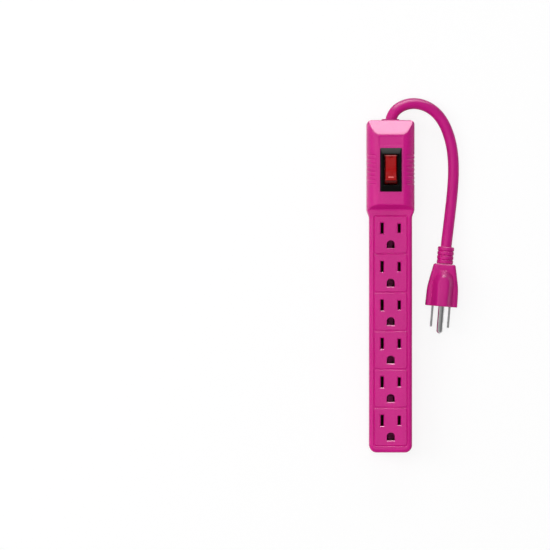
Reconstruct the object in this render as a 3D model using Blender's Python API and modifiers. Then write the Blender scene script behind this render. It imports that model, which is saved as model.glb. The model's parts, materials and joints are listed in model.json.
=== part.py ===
"""Slim six-outlet power strip with a rocker switch, a short cord and a grounded plug.

Metres, +Z up. The strip lies on its back with its length along Y and the cord end at +Y. The origin is the
centre of the strip's footprint, on the surface that it lies on.
"""

import math

import bmesh
import bpy
from mathutils import Matrix, Vector

MM = 0.001

# Driving dimensions of the case
CASE_LENGTH = 247.0 * MM
HEAD_WIDTH = 35.5 * MM
BODY_WIDTH = 31.8 * MM
HEAD_HEIGHT = 31.0 * MM
BODY_HEIGHT = 25.0 * MM
HEAD_LENGTH = 66.2 * MM  # from the cord end to the foot of the ramp
RAMP_RUN = 3.3 * MM
NECK_RUN = 6.7 * MM  # where the width eases from the head to the body
SEAM_HEIGHT = 12.5 * MM
WALL = 2.4 * MM
TRAY_WALL = 3.7 * MM
FLOOR = 2.4 * MM
GAP = 0.3 * MM  # between pieces that touch
HEAD_CORNER = 3.5 * MM
FOOT_CORNER = 5.5 * MM
HEAD_FLAT_HALF = 9.35 * MM
HEAD_CREASE = math.radians(10)
BODY_EDGE = 2.5 * MM
SLOPE_RUN = 11.2 * MM
SLOPE_DROP = 5.9 * MM
BASE_EDGE = 1.0 * MM
TONGUE_HEIGHT = 1.5 * MM

# Outlets
OUTLETS = 6
OUTLET_PITCH = 28.55 * MM
FIRST_SLOT_BELOW_HEAD = 14.1 * MM  # from the foot of the ramp to the first pair of slots
SLOT_SPACING = 12.7 * MM
NEUTRAL_SLOT = (2.3 * MM, 8.2 * MM)
LINE_SLOT = (2.2 * MM, 6.7 * MM)
GROUND_DROP = 11.9 * MM
GROUND_HOLE = 5.7 * MM
SLOT_CHAMFER = 0.7 * MM
PAD_WIDTH = 23.4 * MM
PAD_LENGTH = 26.9 * MM
PAD_CORNER = 1.6 * MM
PAD_AHEAD = 8.6 * MM  # from the slots to the pad's edge on the cord side
GROOVE = 1.2 * MM
GROOVE_DEPTH = 0.5 * MM

# Bus bars and their spring contacts
BUS_BOTTOM = 5.6 * MM
BUS_THICKNESS = 0.8 * MM
LIVE_BUS_WIDTH = 3.7 * MM
GROUND_BUS_WIDTH = 6.6 * MM
CONTACT_SHEET = 0.5 * MM
CONTACT_TOP = 20.0 * MM
CONTACT_LENGTH = 7.0 * MM
GROUND_CONTACT_LENGTH = 6.0 * MM
BLADE_PINCH = 0.65 * MM
PIN_PINCH = 2.2 * MM
PIN_PASS = 2.8 * MM
RIB_THICKNESS = 1.5 * MM
RIB_BELOW_SLOTS = 6.1 * MM
BUS_START_ABOVE_SLOTS = 8.9 * MM
BUS_TAIL = 4.2 * MM

# Cover screws
SCREW_ROWS = (109.0 * MM, 34.0 * MM, -41.0 * MM, -115.5 * MM)
SCREW_SIDE = 10.85 * MM
SCREW_RADIUS = 1.15 * MM
SCREW_HEAD_RADIUS = 2.8 * MM
SCREW_HEAD = 1.2 * MM
SCREW_LENGTH = 19.0 * MM
SCREW_SINK = 1.6 * MM
BOSS_RADIUS = 2.3 * MM
HEAD_BOSS_TOP = HEAD_HEIGHT - 3.0 * MM

# Keyholes in the back, for wall screws
KEYHOLES = (105.0 * MM, -95.0 * MM)
KEYHOLE_ENTRY_RADIUS = 4.0 * MM
KEYHOLE_SLOT_RADIUS = 2.0 * MM
KEYHOLE_RUN = 6.5 * MM
POCKET_WALL = 1.2 * MM
POCKET_ROOF = 0.8 * MM
POCKET_MARGIN = 1.0 * MM

# Rocker switch
SWITCH_FROM_END = 37.05 * MM  # the cord end to the rocker's pivot
BEZEL = (16.1 * MM, 32.4 * MM)
BEZEL_RISE = 2.1 * MM
BEZEL_LAND = 0.3 * MM
WINDOW = (12.5 * MM, 23.3 * MM)
WINDOW_DEPTH = 2.5 * MM
WELL = (10.0 * MM, 22.4 * MM)
TUBE_WALL = (2.25 * MM, 1.4 * MM)
TUBE_BOTTOM = 14.3 * MM
LATCH = 1.1 * MM
PIVOT_BELOW_HEAD = 2.4 * MM
ROCKER_WIDTH = 9.35 * MM
ROCKER_REACH = 10.7 * MM
ROCKER_RIM = 5.0 * MM
ROCKER_MIDDLE = 3.2 * MM
ROCKER_SKIRT = 2.6 * MM
ROCKER_WALL = 1.2 * MM
ROCKER_ROOF = 1.6 * MM
ROCKER_TILT = math.radians(12)
PIVOT_RADIUS = 1.1 * MM
PIVOT_REACH = 6.6 * MM
POST_HALF = 2.0 * MM
POST_DEPTH = 6.0 * MM
POST_BORE = 1.25 * MM
PLUNGER_RADIUS = 0.95 * MM
PLUNGER_TIP = 9.3 * MM
PLUNGER_TOP = 2.6 * MM
SPRING_TOP = 0.4 * MM
SPRING_RADIUS = 0.75 * MM
SPRING_WIRE = 0.2 * MM
SPRING_TURNS = 4
FULCRUM_BELOW_PIVOT = 10.4 * MM
LEVER_HALF = 7.8 * MM
LEVER_WIDTH = 4.2 * MM
LEVER_THICKNESS = 0.8 * MM
LEVER_TILT = math.radians(7)
CONTACT_REACH = 7.0 * MM
CONTACT_DOME = 0.45 * MM
TERMINAL_WIDTH = 4.8 * MM
TERMINAL_THICKNESS = 0.8 * MM
TERMINAL_BOTTOM = 6.5 * MM
LINE_TERMINAL_AT = 9.6 * MM
LAMP_TERMINAL_AT = -9.6 * MM
BASE_PLATE = 2.0 * MM
BASE_PLUG = 1.2 * MM
LAMP_RADIUS = 1.7 * MM
LAMP_AT = -7.0 * MM
RESISTOR_RADIUS = 1.1 * MM
RESISTOR_AT = 7.0 * MM
LEAD_RADIUS = 0.3 * MM
LAMP_BELOW_PIVOT = 6.6 * MM
CRADLE = (3.0 * MM, 4.6 * MM)
CRADLE_DEPTH = 2.0 * MM

# Cord, grip and inner wires
CORD_DIAMETER = 8.2 * MM
CORD_RADIUS = CORD_DIAMETER / 2
CORD_INNER_END = 106.0 * MM
GRIP_WALL = 2.2 * MM
GRIP_FLARE = 1.3 * MM
GRIP_FLANGE = 1.6 * MM
GRIP_COLLAR = 2.2 * MM
CORD_STEP = 6.0 * MM
WIRE_RADIUS = 1.2 * MM
LAMP_WIRE_RADIUS = 0.7 * MM

# Plug
PLUG_AT = (37.9 * MM, -14.9 * MM)
PLUG_TURN = math.radians(-4.8)
PLUG_LENGTH = 31.6 * MM
PLUG_FRONT_WIDTH = 23.9 * MM
PLUG_WAIST_WIDTH = 23.4 * MM
PLUG_WAIST = 14.0 * MM
PLUG_BACK_WIDTH = 16.0 * MM
PLUG_SLAB_HEIGHT = 14.5 * MM
PLUG_BACK_HEIGHT = 16.4 * MM
PLUG_TOP_HEIGHT = 23.6 * MM
PLUG_CORD_HEIGHT = 8.6 * MM
PLUG_CORNER = 2.6 * MM
RIDGE_WIDTH = 12.6 * MM
RIDGE_LENGTH = 26.7 * MM
BLADE_HEIGHT = 7.0 * MM
BLADE = (1.5 * MM, 6.35 * MM, 15.9 * MM)
BLADE_TAIL = 9.0 * MM
BLADE_HOLE = 1.6 * MM
BLADE_HOLE_FROM_TIP = 4.0 * MM
GROUND_PIN_RADIUS = 2.4 * MM
GROUND_PIN_LENGTH = 20.3 * MM
BRIDGE = (18.4 * MM, 9.6 * MM, 3.0 * MM)
RELIEF_LENGTH = 12.8 * MM
RELIEF_RADIUS = 6.1 * MM
RELIEF_GROOVE = 0.9 * MM
RELIEF_RINGS = 4

# Places that follow from the sizes above
END_Y = CASE_LENGTH / 2
RAMP_FOOT = END_Y - HEAD_LENGTH
NECK_END = RAMP_FOOT - NECK_RUN
FIRST_SLOTS = RAMP_FOOT - FIRST_SLOT_BELOW_HEAD
SLOT_ROWS = [FIRST_SLOTS - i * OUTLET_PITCH for i in range(OUTLETS)]
LINE_X = SLOT_SPACING / 2
SCREW_SEAT = SCREW_SINK - GAP
SCREW_TIP = SCREW_SEAT + SCREW_LENGTH
SWITCH_Y = END_Y - SWITCH_FROM_END
PIVOT_Z = HEAD_HEIGHT - PIVOT_BELOW_HEAD
FULCRUM_Z = PIVOT_Z - FULCRUM_BELOW_PIVOT
LAMP_Z = PIVOT_Z - LAMP_BELOW_PIVOT
CORD_EXIT_Z = SEAM_HEIGHT
TRAY_TOP = SEAM_HEIGHT - GAP
BUS_START = FIRST_SLOTS + BUS_START_ABOVE_SLOTS
PANEL_HALF = (PAD_WIDTH / 2 + GROOVE, PAD_LENGTH / 2 + GROOVE)
WELL_X, WELL_Y = (size / 2 for size in WELL)
TUBE_X, TUBE_Y = WELL_X + TUBE_WALL[0], WELL_Y + TUBE_WALL[1]

# The free cord's route from the head to the plug, chosen by hand
CORD_ROUTE = [
    (0.0, 106.0, 12.5),
    (0.0, 114.0, 12.5),
    (0.05, 120.4, 12.5),
    (0.75, 125.4, 12.35),
    (3.4, 130.3, 11.8),
    (8.4, 134.1, 10.8),
    (14.8, 136.1, 9.4),
    (21.6, 135.9, 8.0),
    (28.6, 133.4, 6.7),
    (34.8, 128.7, 5.6),
    (39.8, 121.9, 4.8),
    (43.4, 113.6, 4.3),
    (45.8, 104.4, 4.15),
    (47.0, 94.6, 4.15),
    (47.2, 84.0, 4.15),
    (46.6, 72.8, 4.15),
    (45.5, 61.6, 4.4),
    (44.2, 50.6, 5.5),
    (43.05, 41.4, 7.3),
    (42.2, 34.8, 8.4),
    (41.64, 29.6, 8.6),
    (41.13, 23.5, 8.6),
    (40.62, 17.4, 8.6),
]

# The inner wires' routes, chosen by hand
LINE_WIRE_ROUTE = [
    (1.5, 105.5, 14.0), (1.7, 103.8, 13.9), (2.2, 101.6, 12.6), (1.6, 99.4, 10.0), (1.0, 98.0, 7.6)
]
NEUTRAL_WIRE_ROUTE = [
    (-1.7, 105.5, 13.4), (-2.2, 103.8, 13.3), (-5.5, 101.6, 11.5), (-9.0, 97.5, 8.4), (-9.8, 88.0, 6.0), (-9.8, 72.0, 5.6),
    (-8.6, 60.0, 5.8), (-6.6, 54.2, 6.2),
]
GROUND_WIRE_ROUTE = [
    (0.1, 105.5, 10.4), (0.0, 103.8, 10.3), (-2.4, 101.0, 8.6), (-5.0, 97.0, 7.2), (-6.2, 88.0, 5.2), (-6.0, 72.0, 4.8),
    (-3.2, 60.0, 5.2), (-0.6, 54.2, 6.0),
]
LOAD_WIRE_ROUTE = [
    (1.0, 84.6, 7.8), (3.4, 81.0, 6.4), (6.2, 75.0, 5.6), (7.2, 66.0, 5.6), (6.5, 54.2, 6.0)
]
LAMP_WIRE_ROUTE = [(-0.9, 75.4, 8.6), (-2.4, 69.0, 9.0), (-5.2, 59.0, 9.0), (-6.2, 52.6, 8.0), (-6.3, 48.8, 7.5)]

PARTS = "power_strip"
CUTTERS = "cutters"


def clear_scene() -> None:
    """Empties the file and makes the two collections."""
    for obj in list(bpy.data.objects):
        bpy.data.objects.remove(obj)
    for name in (PARTS, CUTTERS):
        collection = bpy.data.collections.new(name)
        bpy.context.scene.collection.children.link(collection)


def material(name, colour, roughness, metallic=0.0):
    """The named Principled material, made on its first use."""
    found = bpy.data.materials.get(name)
    if found:
        return found
    made = bpy.data.materials.new(name)
    made.use_nodes = True
    shader = made.node_tree.nodes["Principled BSDF"]
    shader.inputs["Base Color"].default_value = (*colour, 1.0)
    shader.inputs["Roughness"].default_value = roughness
    shader.inputs["Metallic"].default_value = metallic
    made.diffuse_color = (*colour, 1.0)
    return made


def case_plastic():
    return material("magenta_plastic", (0.52, 0.018, 0.21), 0.42)


def black_plastic():
    return material("black_plastic", (0.012, 0.012, 0.013), 0.4)


def red_lens():
    return material("red_lens", (0.32, 0.006, 0.008), 0.2)


def brass():
    return material("brass", (0.72, 0.5, 0.2), 0.35, 1.0)


def nickel():
    return material("nickel_plate", (0.62, 0.62, 0.63), 0.25, 1.0)


def steel():
    return material("zinc_steel", (0.55, 0.56, 0.58), 0.35, 1.0)


def link(obj, collection=PARTS):
    bpy.data.collections[collection].objects.link(obj)
    return obj


def as_part(name, mesh, finish, smooth=True):
    """A part object of this mesh, with its material and smooth round faces."""
    mesh.name = name
    mesh.materials.append(finish)
    if smooth:
        mesh.shade_smooth()
        mesh.set_sharp_from_angle(angle=math.radians(35))
    return link(bpy.data.objects.new(name, mesh))


def hide_as_cutter(obj):
    for collection in list(obj.users_collection):
        collection.objects.unlink(obj)
    link(obj, CUTTERS)
    obj.hide_render = True
    obj.display_type = "WIRE"
    return obj


def finished(bm):
    """The bmesh as mesh data, with its normals facing out."""
    bmesh.ops.remove_doubles(bm, verts=bm.verts, dist=0.002 * MM)
    bmesh.ops.dissolve_degenerate(bm, edges=bm.edges, dist=0.001 * MM)
    bmesh.ops.recalc_face_normals(bm, faces=bm.faces)
    mesh = bpy.data.meshes.new("shape")
    bm.to_mesh(mesh)
    bm.free()
    return mesh


def part_of(name, bm, finish, smooth=True):
    return as_part(name, finished(bm), finish, smooth)


def cutter_of(name, bm):
    return hide_as_cutter(link(bpy.data.objects.new(name, finished(bm))))


def boolean(target, tool, operation):
    modifier = target.modifiers.new(tool.name, "BOOLEAN")
    modifier.operation = operation
    modifier.solver = "EXACT"
    modifier.object = tool
    return target


def cut(target, name, bm):
    return boolean(target, cutter_of(name, bm), "DIFFERENCE")


def join(target, name, bm):
    return boolean(target, cutter_of(name, bm), "UNION")


def add_box(bm, low, high):
    """A box between two corners."""
    low, high = Vector(low), Vector(high)
    place = Matrix.Translation((low + high) / 2) @ Matrix.Diagonal((*(high - low), 1.0))
    bmesh.ops.create_cube(bm, size=1.0, matrix=place)


def add_cylinder(bm, start, end, radius, end_radius=None, segments=20):
    """A cylinder, or a cone where end_radius is given, from start to end."""
    start, end = Vector(start), Vector(end)
    turn = (end - start).to_track_quat("Z", "Y").to_matrix().to_4x4()
    bmesh.ops.create_cone(
        bm,
        cap_ends=True,
        segments=segments,
        radius1=radius,
        radius2=radius if end_radius is None else end_radius,
        depth=(end - start).length,
        matrix=Matrix.Translation((start + end) / 2) @ turn,
    )


def add_rounded_box(bm, low, high, radius, segments=4):
    """A box between two corners whose four upright edges are rounded."""
    before = set(bm.edges)
    add_box(bm, low, high)
    upright = [
        edge
        for edge in set(bm.edges) - before
        if abs(edge.verts[0].co.z - edge.verts[1].co.z) > abs(high[2] - low[2]) / 2
    ]
    bmesh.ops.bevel(bm, geom=upright, offset=radius, segments=segments, profile=0.5, affect="EDGES")


def add_loft(bm, rings):
    """A closed skin over a row of rings that have the same number of points."""
    rows = [[bm.verts.new(point) for point in ring] for ring in rings]
    for first, second in zip(rows, rows[1:]):
        for i in range(len(first)):
            j = (i + 1) % len(first)
            bm.faces.new((first[i], first[j], second[j], second[i]))
    bm.faces.new(rows[0][::-1])
    bm.faces.new(rows[-1])


def plate(name, outline, depth, place, finish):
    """A flat piece: a filled outline in its own XY plane, depth thick about that plane."""
    curve = bpy.data.curves.new(name, "CURVE")
    curve.dimensions = "2D"
    curve.fill_mode = "BOTH"
    curve.extrude = depth / 2
    spline = curve.splines.new("POLY")
    spline.points.add(len(outline) - 1)
    for point, (x, y) in zip(spline.points, outline):
        point.co = (x, y, 0.0, 1.0)
    spline.use_cyclic_u = True
    guide = link(bpy.data.objects.new(name + "_outline", curve), CUTTERS)
    bpy.context.view_layer.update()
    graph = bpy.context.evaluated_depsgraph_get()
    mesh = bpy.data.meshes.new_from_object(guide.evaluated_get(graph))
    bpy.data.objects.remove(guide)
    bm = bmesh.new()
    bm.from_mesh(mesh)
    made = as_part(name, finished(bm), finish)
    made.matrix_world = place
    return made


def tube(name, points, radius, finish, resolution=2):
    """A round wire or cord along a row of points, with filled ends."""
    curve = bpy.data.curves.new(name, "CURVE")
    curve.dimensions = "3D"
    curve.bevel_depth = radius
    curve.bevel_resolution = resolution
    curve.use_fill_caps = True
    spline = curve.splines.new("POLY")
    spline.points.add(len(points) - 1)
    for point, place in zip(spline.points, points):
        point.co = (*place, 1.0)
    curve.materials.append(finish)
    return link(bpy.data.objects.new(name, curve))


def turned(name, profile, place, finish, steps=20):
    """A turned piece: a profile of (radius, height) points turned about its own Z."""
    mesh = bpy.data.meshes.new(name)
    points = [(radius, 0.0, height) for radius, height in profile]
    edges = [(i, i + 1) for i in range(len(points) - 1)]
    if profile[0][0] > 0:
        edges.append((len(points) - 1, 0))
    mesh.from_pydata(points, edges, [])
    mesh.materials.append(finish)
    made = link(bpy.data.objects.new(name, mesh))
    made.matrix_world = place
    screw = made.modifiers.new("turn", "SCREW")
    screw.steps = screw.render_steps = steps
    screw.use_merge_vertices = True
    screw.merge_threshold = 0.00001
    screw.use_smooth_shade = True
    return made


def along_y(x, y, z):
    """A place whose own Z axis points along +Y."""
    return Matrix.Translation((x, y, z)) @ Matrix.Rotation(math.radians(-90), 4, "X")


def in_yz(x, y, z):
    """A place whose own X axis is +Y and whose own Y axis is +Z, so its plate stands in the YZ plane."""
    turn = Matrix(((0, 0, 1, x), (1, 0, 0, y), (0, 1, 0, z), (0, 0, 0, 1)))
    return turn


def in_xz(x, y, z):
    """A place whose own Y axis is +Z, so its plate stands in the XZ plane."""
    return Matrix(((1, 0, 0, x), (0, 0, -1, y), (0, 1, 0, z), (0, 0, 0, 1)))


def smooth_path(route, step):
    """Points at about this spacing on a smooth curve (centripetal Catmull-Rom) through the route."""
    points = [Vector(p) for p in route]
    points = [2 * points[0] - points[1], *points, 2 * points[-1] - points[-2]]
    path = []
    for four in zip(points, points[1:], points[2:], points[3:]):
        knots = [0.0]
        for first, second in zip(four, four[1:]):
            knots.append(knots[-1] + math.sqrt((second - first).length))
        count = max(1, round((four[2] - four[1]).length / step))
        for i in range(count):
            path.append(point_on_curve(four, knots, knots[1] + (knots[2] - knots[1]) * i / count))
    path.append(points[-2])
    return path


def point_on_curve(four, knots, t):
    """The point at t of the curve over four points: neighbours are blended, then those blends, and again."""
    level = list(four)
    for span, starts in ((1, (0, 1, 2)), (2, (0, 1)), (1, (1,))):
        level = [blend(level[i], level[i + 1], knots[k], knots[k + span], t) for i, k in enumerate(starts)]
    return level[0]


def blend(a, b, start, end, t):
    return a + (b - a) * ((t - start) / (end - start))


def corner_loss(distance, radius):
    """How far a rounded corner pulls in, this far from the end."""
    rest = max(radius - max(distance, 0.0), 0.0)
    return radius - math.sqrt(max(radius * radius - rest * rest, 0.0))


def headness(y):
    """1 on the head, 0 on the body, easing over the neck."""
    share = min(max((y - NECK_END) / NECK_RUN, 0.0), 1.0)
    return share * share * (3 - 2 * share)


def half_width(y, inset=0.0):
    """Half the case's width at y, taken in by inset on every side."""
    wide = (BODY_WIDTH + (HEAD_WIDTH - BODY_WIDTH) * headness(y)) / 2 - inset
    foot = corner_loss(y + END_Y - inset, max(FOOT_CORNER - inset, GAP))
    head = corner_loss(END_Y - inset - y, max(HEAD_CORNER - inset, GAP))
    return wide - foot - head


def top_limit(y, inset):
    """The height that the ramp, the slope at the cord end and the foot's edge leave at y."""
    ramp = BODY_HEIGHT + (HEAD_HEIGHT - BODY_HEIGHT) * max(y - RAMP_FOOT, 0.0) / RAMP_RUN
    slope = HEAD_HEIGHT - SLOPE_DROP * max(y - (END_Y - SLOPE_RUN), 0.0) / SLOPE_RUN
    foot = corner_loss(y + END_Y - inset, max(BODY_EDGE - inset, GAP))
    return min(ramp if y > NECK_END else HEAD_HEIGHT, slope) - inset - foot


def shoulder(half, top, flat_half, crease, inset, steps=6):
    """The arc from the upright flank to the flat top, as (x, z) points from the outside in."""
    radius = (half - flat_half) / (1 - math.sin(crease))
    centre_x = half - radius
    centre_z = top - radius * math.cos(crease)
    inner = max(radius - inset, GAP)
    centre_x = min(centre_x, half - inset - inner)
    centre_z = min(centre_z, top - inset - inner * math.cos(crease))
    angles = [math.pi / 2 + (crease - math.pi / 2) * i / steps for i in range(steps + 1)]
    return [(centre_x + inner * math.sin(a), centre_z + inner * math.cos(a)) for a in angles]


def case_ring(y, inset, bottom):
    """The case's outline across its length at y, from one lower corner over the top to the other."""
    head = shoulder(HEAD_WIDTH / 2, HEAD_HEIGHT, HEAD_FLAT_HALF, HEAD_CREASE, inset)
    body = shoulder(BODY_WIDTH / 2, BODY_HEIGHT, BODY_WIDTH / 2 - BODY_EDGE, 0.0, inset)
    share = headness(y)
    widest = half_width(y, inset)
    highest = top_limit(y, inset)
    right = [(widest, bottom)]
    for (hx, hz), (bx, bz) in zip(head, body):
        x = bx + (hx - bx) * share
        z = bz + (hz - bz) * share
        right.append((min(x, widest), min(z, highest)))
    left = [(-x, z) for x, z in reversed(right)]
    return [(x, y, z) for x, z in right + left]


def stations(inset):
    """The places along Y where the case's outline is taken."""
    foot, head = -END_Y + inset, END_Y - inset
    foot_run = [share * FOOT_CORNER for share in (0.0, 0.05, 0.2, 0.45, 0.75, 1.0)]
    head_run = [share * HEAD_CORNER for share in (1.0, 0.6, 0.3, 0.1, 0.0)]
    neck = [NECK_END + NECK_RUN * i / 5 for i in range(6)]
    ramp = [RAMP_FOOT + RAMP_RUN * i / 4 for i in range(1, 5)]
    slope = [END_Y - SLOPE_RUN + (SLOPE_RUN - HEAD_CORNER - inset) * i / 5 for i in range(5)]
    return [foot + s for s in foot_run] + neck + ramp + slope + [head - s for s in head_run]


def plan_outline(inset):
    """The case's outline seen from above, taken in by inset."""
    rows = [y for y in stations(inset) if y <= RAMP_FOOT or y > END_Y - HEAD_CORNER - inset - GAP / 2]
    right = [(half_width(y, inset), y) for y in rows]
    return right + [(-x, y) for x, y in reversed(right)]


def slot_ring(half_x, half_y, x, y, z):
    return [(x + sx * half_x, y + sy * half_y, z) for sx, sy in ((1, -1), (1, 1), (-1, 1), (-1, -1))]


def ground_ring(grow, y, z, steps=8):
    """The D-shaped ground hole, round on the cord side, grown by grow on every side."""
    radius = GROUND_HOLE / 2
    arc = [math.pi * i / steps for i in range(steps + 1)]
    points = [(math.cos(a) * (radius + grow), math.sin(a) * (radius + grow)) for a in arc]
    points += [(-radius - grow, -radius - grow), (radius + grow, -radius - grow)]
    return [(px, y + py, z) for px, py in points]


def flared(ring_at, top, deep):
    """Rings of a hole from deep below the top, with its flared mouth at the top."""
    return [
        ring_at(0.0, top - deep),
        ring_at(0.0, top - SLOT_CHAMFER),
        ring_at(SLOT_CHAMFER, top),
        ring_at(SLOT_CHAMFER, top + WALL),
    ]


def outlet_cutters():
    """Every blade slot and ground hole, with its flared mouth."""
    bm = bmesh.new()
    deep = 2 * WALL
    for row in SLOT_ROWS:
        for x, (wide, long) in ((-LINE_X, NEUTRAL_SLOT), (LINE_X, LINE_SLOT)):
            def ring_at(grow, z, x=x, wide=wide, long=long, row=row):
                return slot_ring(wide / 2 + grow, long / 2 + grow, x, row, z)

            add_loft(bm, flared(ring_at, BODY_HEIGHT, deep))
        ground = row - GROUND_DROP
        add_loft(bm, flared(lambda grow, z, y=ground: ground_ring(grow, y, z), BODY_HEIGHT, deep))
    return bm


def pad_centre(row):
    return row + PAD_AHEAD - PAD_LENGTH / 2


def screw_places():
    return [(side * SCREW_SIDE, y) for y in SCREW_ROWS for side in (-1, 1)]


def cord_hole_cutter():
    """The round hole that holds the cord's grip, half in each cover."""
    bm = bmesh.new()
    radius = CORD_RADIUS + GRIP_WALL + 2 * GAP
    start = END_Y - TRAY_WALL - WALL
    add_cylinder(bm, (0, start, CORD_EXIT_Z), (0, END_Y + WALL, CORD_EXIT_Z), radius, segments=28)
    return bm


def build_top_cover():
    """The coloured upper shell: head, outlet face and the screw bosses inside it."""
    bm = bmesh.new()
    add_loft(bm, [case_ring(y, 0.0, SEAM_HEIGHT) for y in stations(0.0)])
    cover = part_of("top_cover", bm, case_plastic())
    hollow = bmesh.new()
    add_loft(hollow, [case_ring(y, WALL, SEAM_HEIGHT - WALL) for y in stations(WALL)])
    cut(cover, "top_hollow", hollow)
    join(cover, "top_bosses", top_boss_shapes())
    groove = bmesh.new()
    first, last = pad_centre(SLOT_ROWS[0]), pad_centre(SLOT_ROWS[-1])
    low = (-PANEL_HALF[0], last - PANEL_HALF[1], BODY_HEIGHT - GROOVE_DEPTH)
    high = (PANEL_HALF[0], first + PANEL_HALF[1], BODY_HEIGHT + WALL)
    add_rounded_box(groove, low, high, PAD_CORNER + GROOVE)
    cut(cover, "pad_grooves", groove)
    join(cover, "pads", pad_shapes())
    cut(cover, "outlet_holes", outlet_cutters())
    cut(cover, "top_openings", top_opening_cutters())
    return cover


def top_boss_shapes():
    """Screw bosses under the shell's roof and the ribs that hold the bus bars down."""
    bm = bmesh.new()
    foot = SEAM_HEIGHT + TONGUE_HEIGHT + GAP
    for x, y in screw_places():
        roof = HEAD_BOSS_TOP if y > RAMP_FOOT else BODY_HEIGHT - WALL / 2
        add_cylinder(bm, (x, y, foot), (x, y, roof), BOSS_RADIUS, segments=12)
    reach = LINE_X + LIVE_BUS_WIDTH / 2 + GAP
    for row in SLOT_ROWS:
        y = row - RIB_BELOW_SLOTS
        low = (-reach, y - RIB_THICKNESS / 2, BUS_BOTTOM + BUS_THICKNESS + GAP)
        high = (reach, y + RIB_THICKNESS / 2, BODY_HEIGHT - WALL / 2)
        add_box(bm, low, high)
    return bm


def pad_shapes():
    bm = bmesh.new()
    for row in SLOT_ROWS:
        y = pad_centre(row)
        low = (-PAD_WIDTH / 2, y - PAD_LENGTH / 2, BODY_HEIGHT - 2 * GROOVE_DEPTH)
        add_rounded_box(bm, low, (PAD_WIDTH / 2, y + PAD_LENGTH / 2, BODY_HEIGHT), PAD_CORNER)
    return bm


def top_opening_cutters():
    """The switch's window, the cord's hole and the screws' pilot holes."""
    bm = cord_hole_cutter()
    x, y = TUBE_X + GAP, TUBE_Y + GAP
    low = (-x, SWITCH_Y - y, HEAD_HEIGHT - 2 * WALL)
    add_box(bm, low, (x, SWITCH_Y + y, HEAD_HEIGHT + WALL))
    for x, y in screw_places():
        add_cylinder(bm, (x, y, SEAM_HEIGHT), (x, y, SCREW_TIP + GAP), SCREW_RADIUS + GAP, segments=10)
    return bm


def outline_prism(bm, outline, bottom, top):
    """An upright prism over an outline seen from above."""
    add_loft(bm, [[(x, y, z) for x, y in outline] for z in (bottom, top)])


def build_bottom_cover():
    """The coloured tray that closes the back: floor, wall, tongue, bosses, ribs and keyholes."""
    bm = bmesh.new()
    add_loft(
        bm,
        [
            [(x, y, 0.0) for x, y in plan_outline(BASE_EDGE)],
            [(x, y, BASE_EDGE) for x, y in plan_outline(0.0)],
            [(x, y, TRAY_TOP) for x, y in plan_outline(0.0)],
        ],
    )
    tray = part_of("bottom_cover", bm, case_plastic())
    tongue = bmesh.new()
    outline_prism(tongue, plan_outline(WALL + GAP), TRAY_TOP - WALL, TRAY_TOP + TONGUE_HEIGHT)
    join(tray, "tongue", tongue)
    hollow = bmesh.new()
    outline_prism(hollow, plan_outline(TRAY_WALL), FLOOR, TRAY_TOP + TONGUE_HEIGHT + WALL)
    cut(tray, "tray_hollow", hollow)
    join(tray, "tray_bosses", tray_boss_shapes())
    join(tray, "tray_ribs", tray_rib_shapes())
    cut(tray, "tray_holes", tray_hole_cutters())
    cut(tray, "tray_sinks", tray_sink_cutters())
    cut(tray, "keyhole_pockets", pocket_cutters())
    return tray


def tray_boss_shapes():
    bm = bmesh.new()
    for x, y in screw_places():
        top = TRAY_TOP + TONGUE_HEIGHT
        add_cylinder(bm, (x, y, FLOOR / 2), (x, y, top), BOSS_RADIUS, segments=12)
    return bm


def tray_rib_shapes():
    """Cross ribs under the bus bars, and the pockets that close the keyholes off from the live parts."""
    bm = bmesh.new()
    top = BUS_BOTTOM - GAP
    reach = LINE_X + LIVE_BUS_WIDTH / 2
    for row in SLOT_ROWS:
        y = row - RIB_BELOW_SLOTS
        add_box(bm, (-reach, y - RIB_THICKNESS / 2, FLOOR / 2), (reach, y + RIB_THICKNESS / 2, top))
    wide = KEYHOLE_ENTRY_RADIUS + POCKET_MARGIN + POCKET_WALL
    for y in KEYHOLES:
        add_box(bm, (-wide, y - wide, FLOOR / 2), (wide, y + wide + KEYHOLE_RUN, top))
    return bm


def tray_hole_cutters():
    """The cord's hole and the screws' through holes."""
    bm = cord_hole_cutter()
    for x, y in screw_places():
        high = TRAY_TOP + TONGUE_HEIGHT + WALL
        add_cylinder(bm, (x, y, SCREW_SINK / 2), (x, y, high), SCREW_RADIUS + GAP, segments=10)
    return bm


def keyhole_outline(y, steps=14):
    """A round entry with a narrower slot that runs from it towards the cord end."""
    mouth = math.asin(KEYHOLE_SLOT_RADIUS / KEYHOLE_ENTRY_RADIUS)
    start, end = math.pi / 2 + mouth, 2.5 * math.pi - mouth
    entry = [start + (end - start) * i / steps for i in range(steps + 1)]
    points = [(KEYHOLE_ENTRY_RADIUS * math.cos(a), KEYHOLE_ENTRY_RADIUS * math.sin(a)) for a in entry]
    half = [math.pi * i / (steps // 2) for i in range(steps // 2 + 1)]
    points += [(KEYHOLE_SLOT_RADIUS * math.cos(a), KEYHOLE_RUN + KEYHOLE_SLOT_RADIUS * math.sin(a)) for a in half]
    return [(px, y + py) for px, py in points]


def tray_sink_cutters():
    """The sinks for the screw heads and the keyholes through the floor."""
    bm = bmesh.new()
    for x, y in screw_places():
        add_cylinder(bm, (x, y, -WALL), (x, y, SCREW_SINK), SCREW_HEAD_RADIUS + GAP, segments=16)
    for y in KEYHOLES:
        outline_prism(bm, keyhole_outline(y), -WALL, FLOOR)
    return bm


def pocket_cutters():
    """The room behind each keyhole for a wall screw's head."""
    bm = bmesh.new()
    wide = KEYHOLE_ENTRY_RADIUS + POCKET_MARGIN
    top = BUS_BOTTOM - GAP - POCKET_ROOF
    for y in KEYHOLES:
        add_box(bm, (-wide, y - wide, FLOOR - GAP), (wide, y + wide + KEYHOLE_RUN, top))
    return bm


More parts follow.
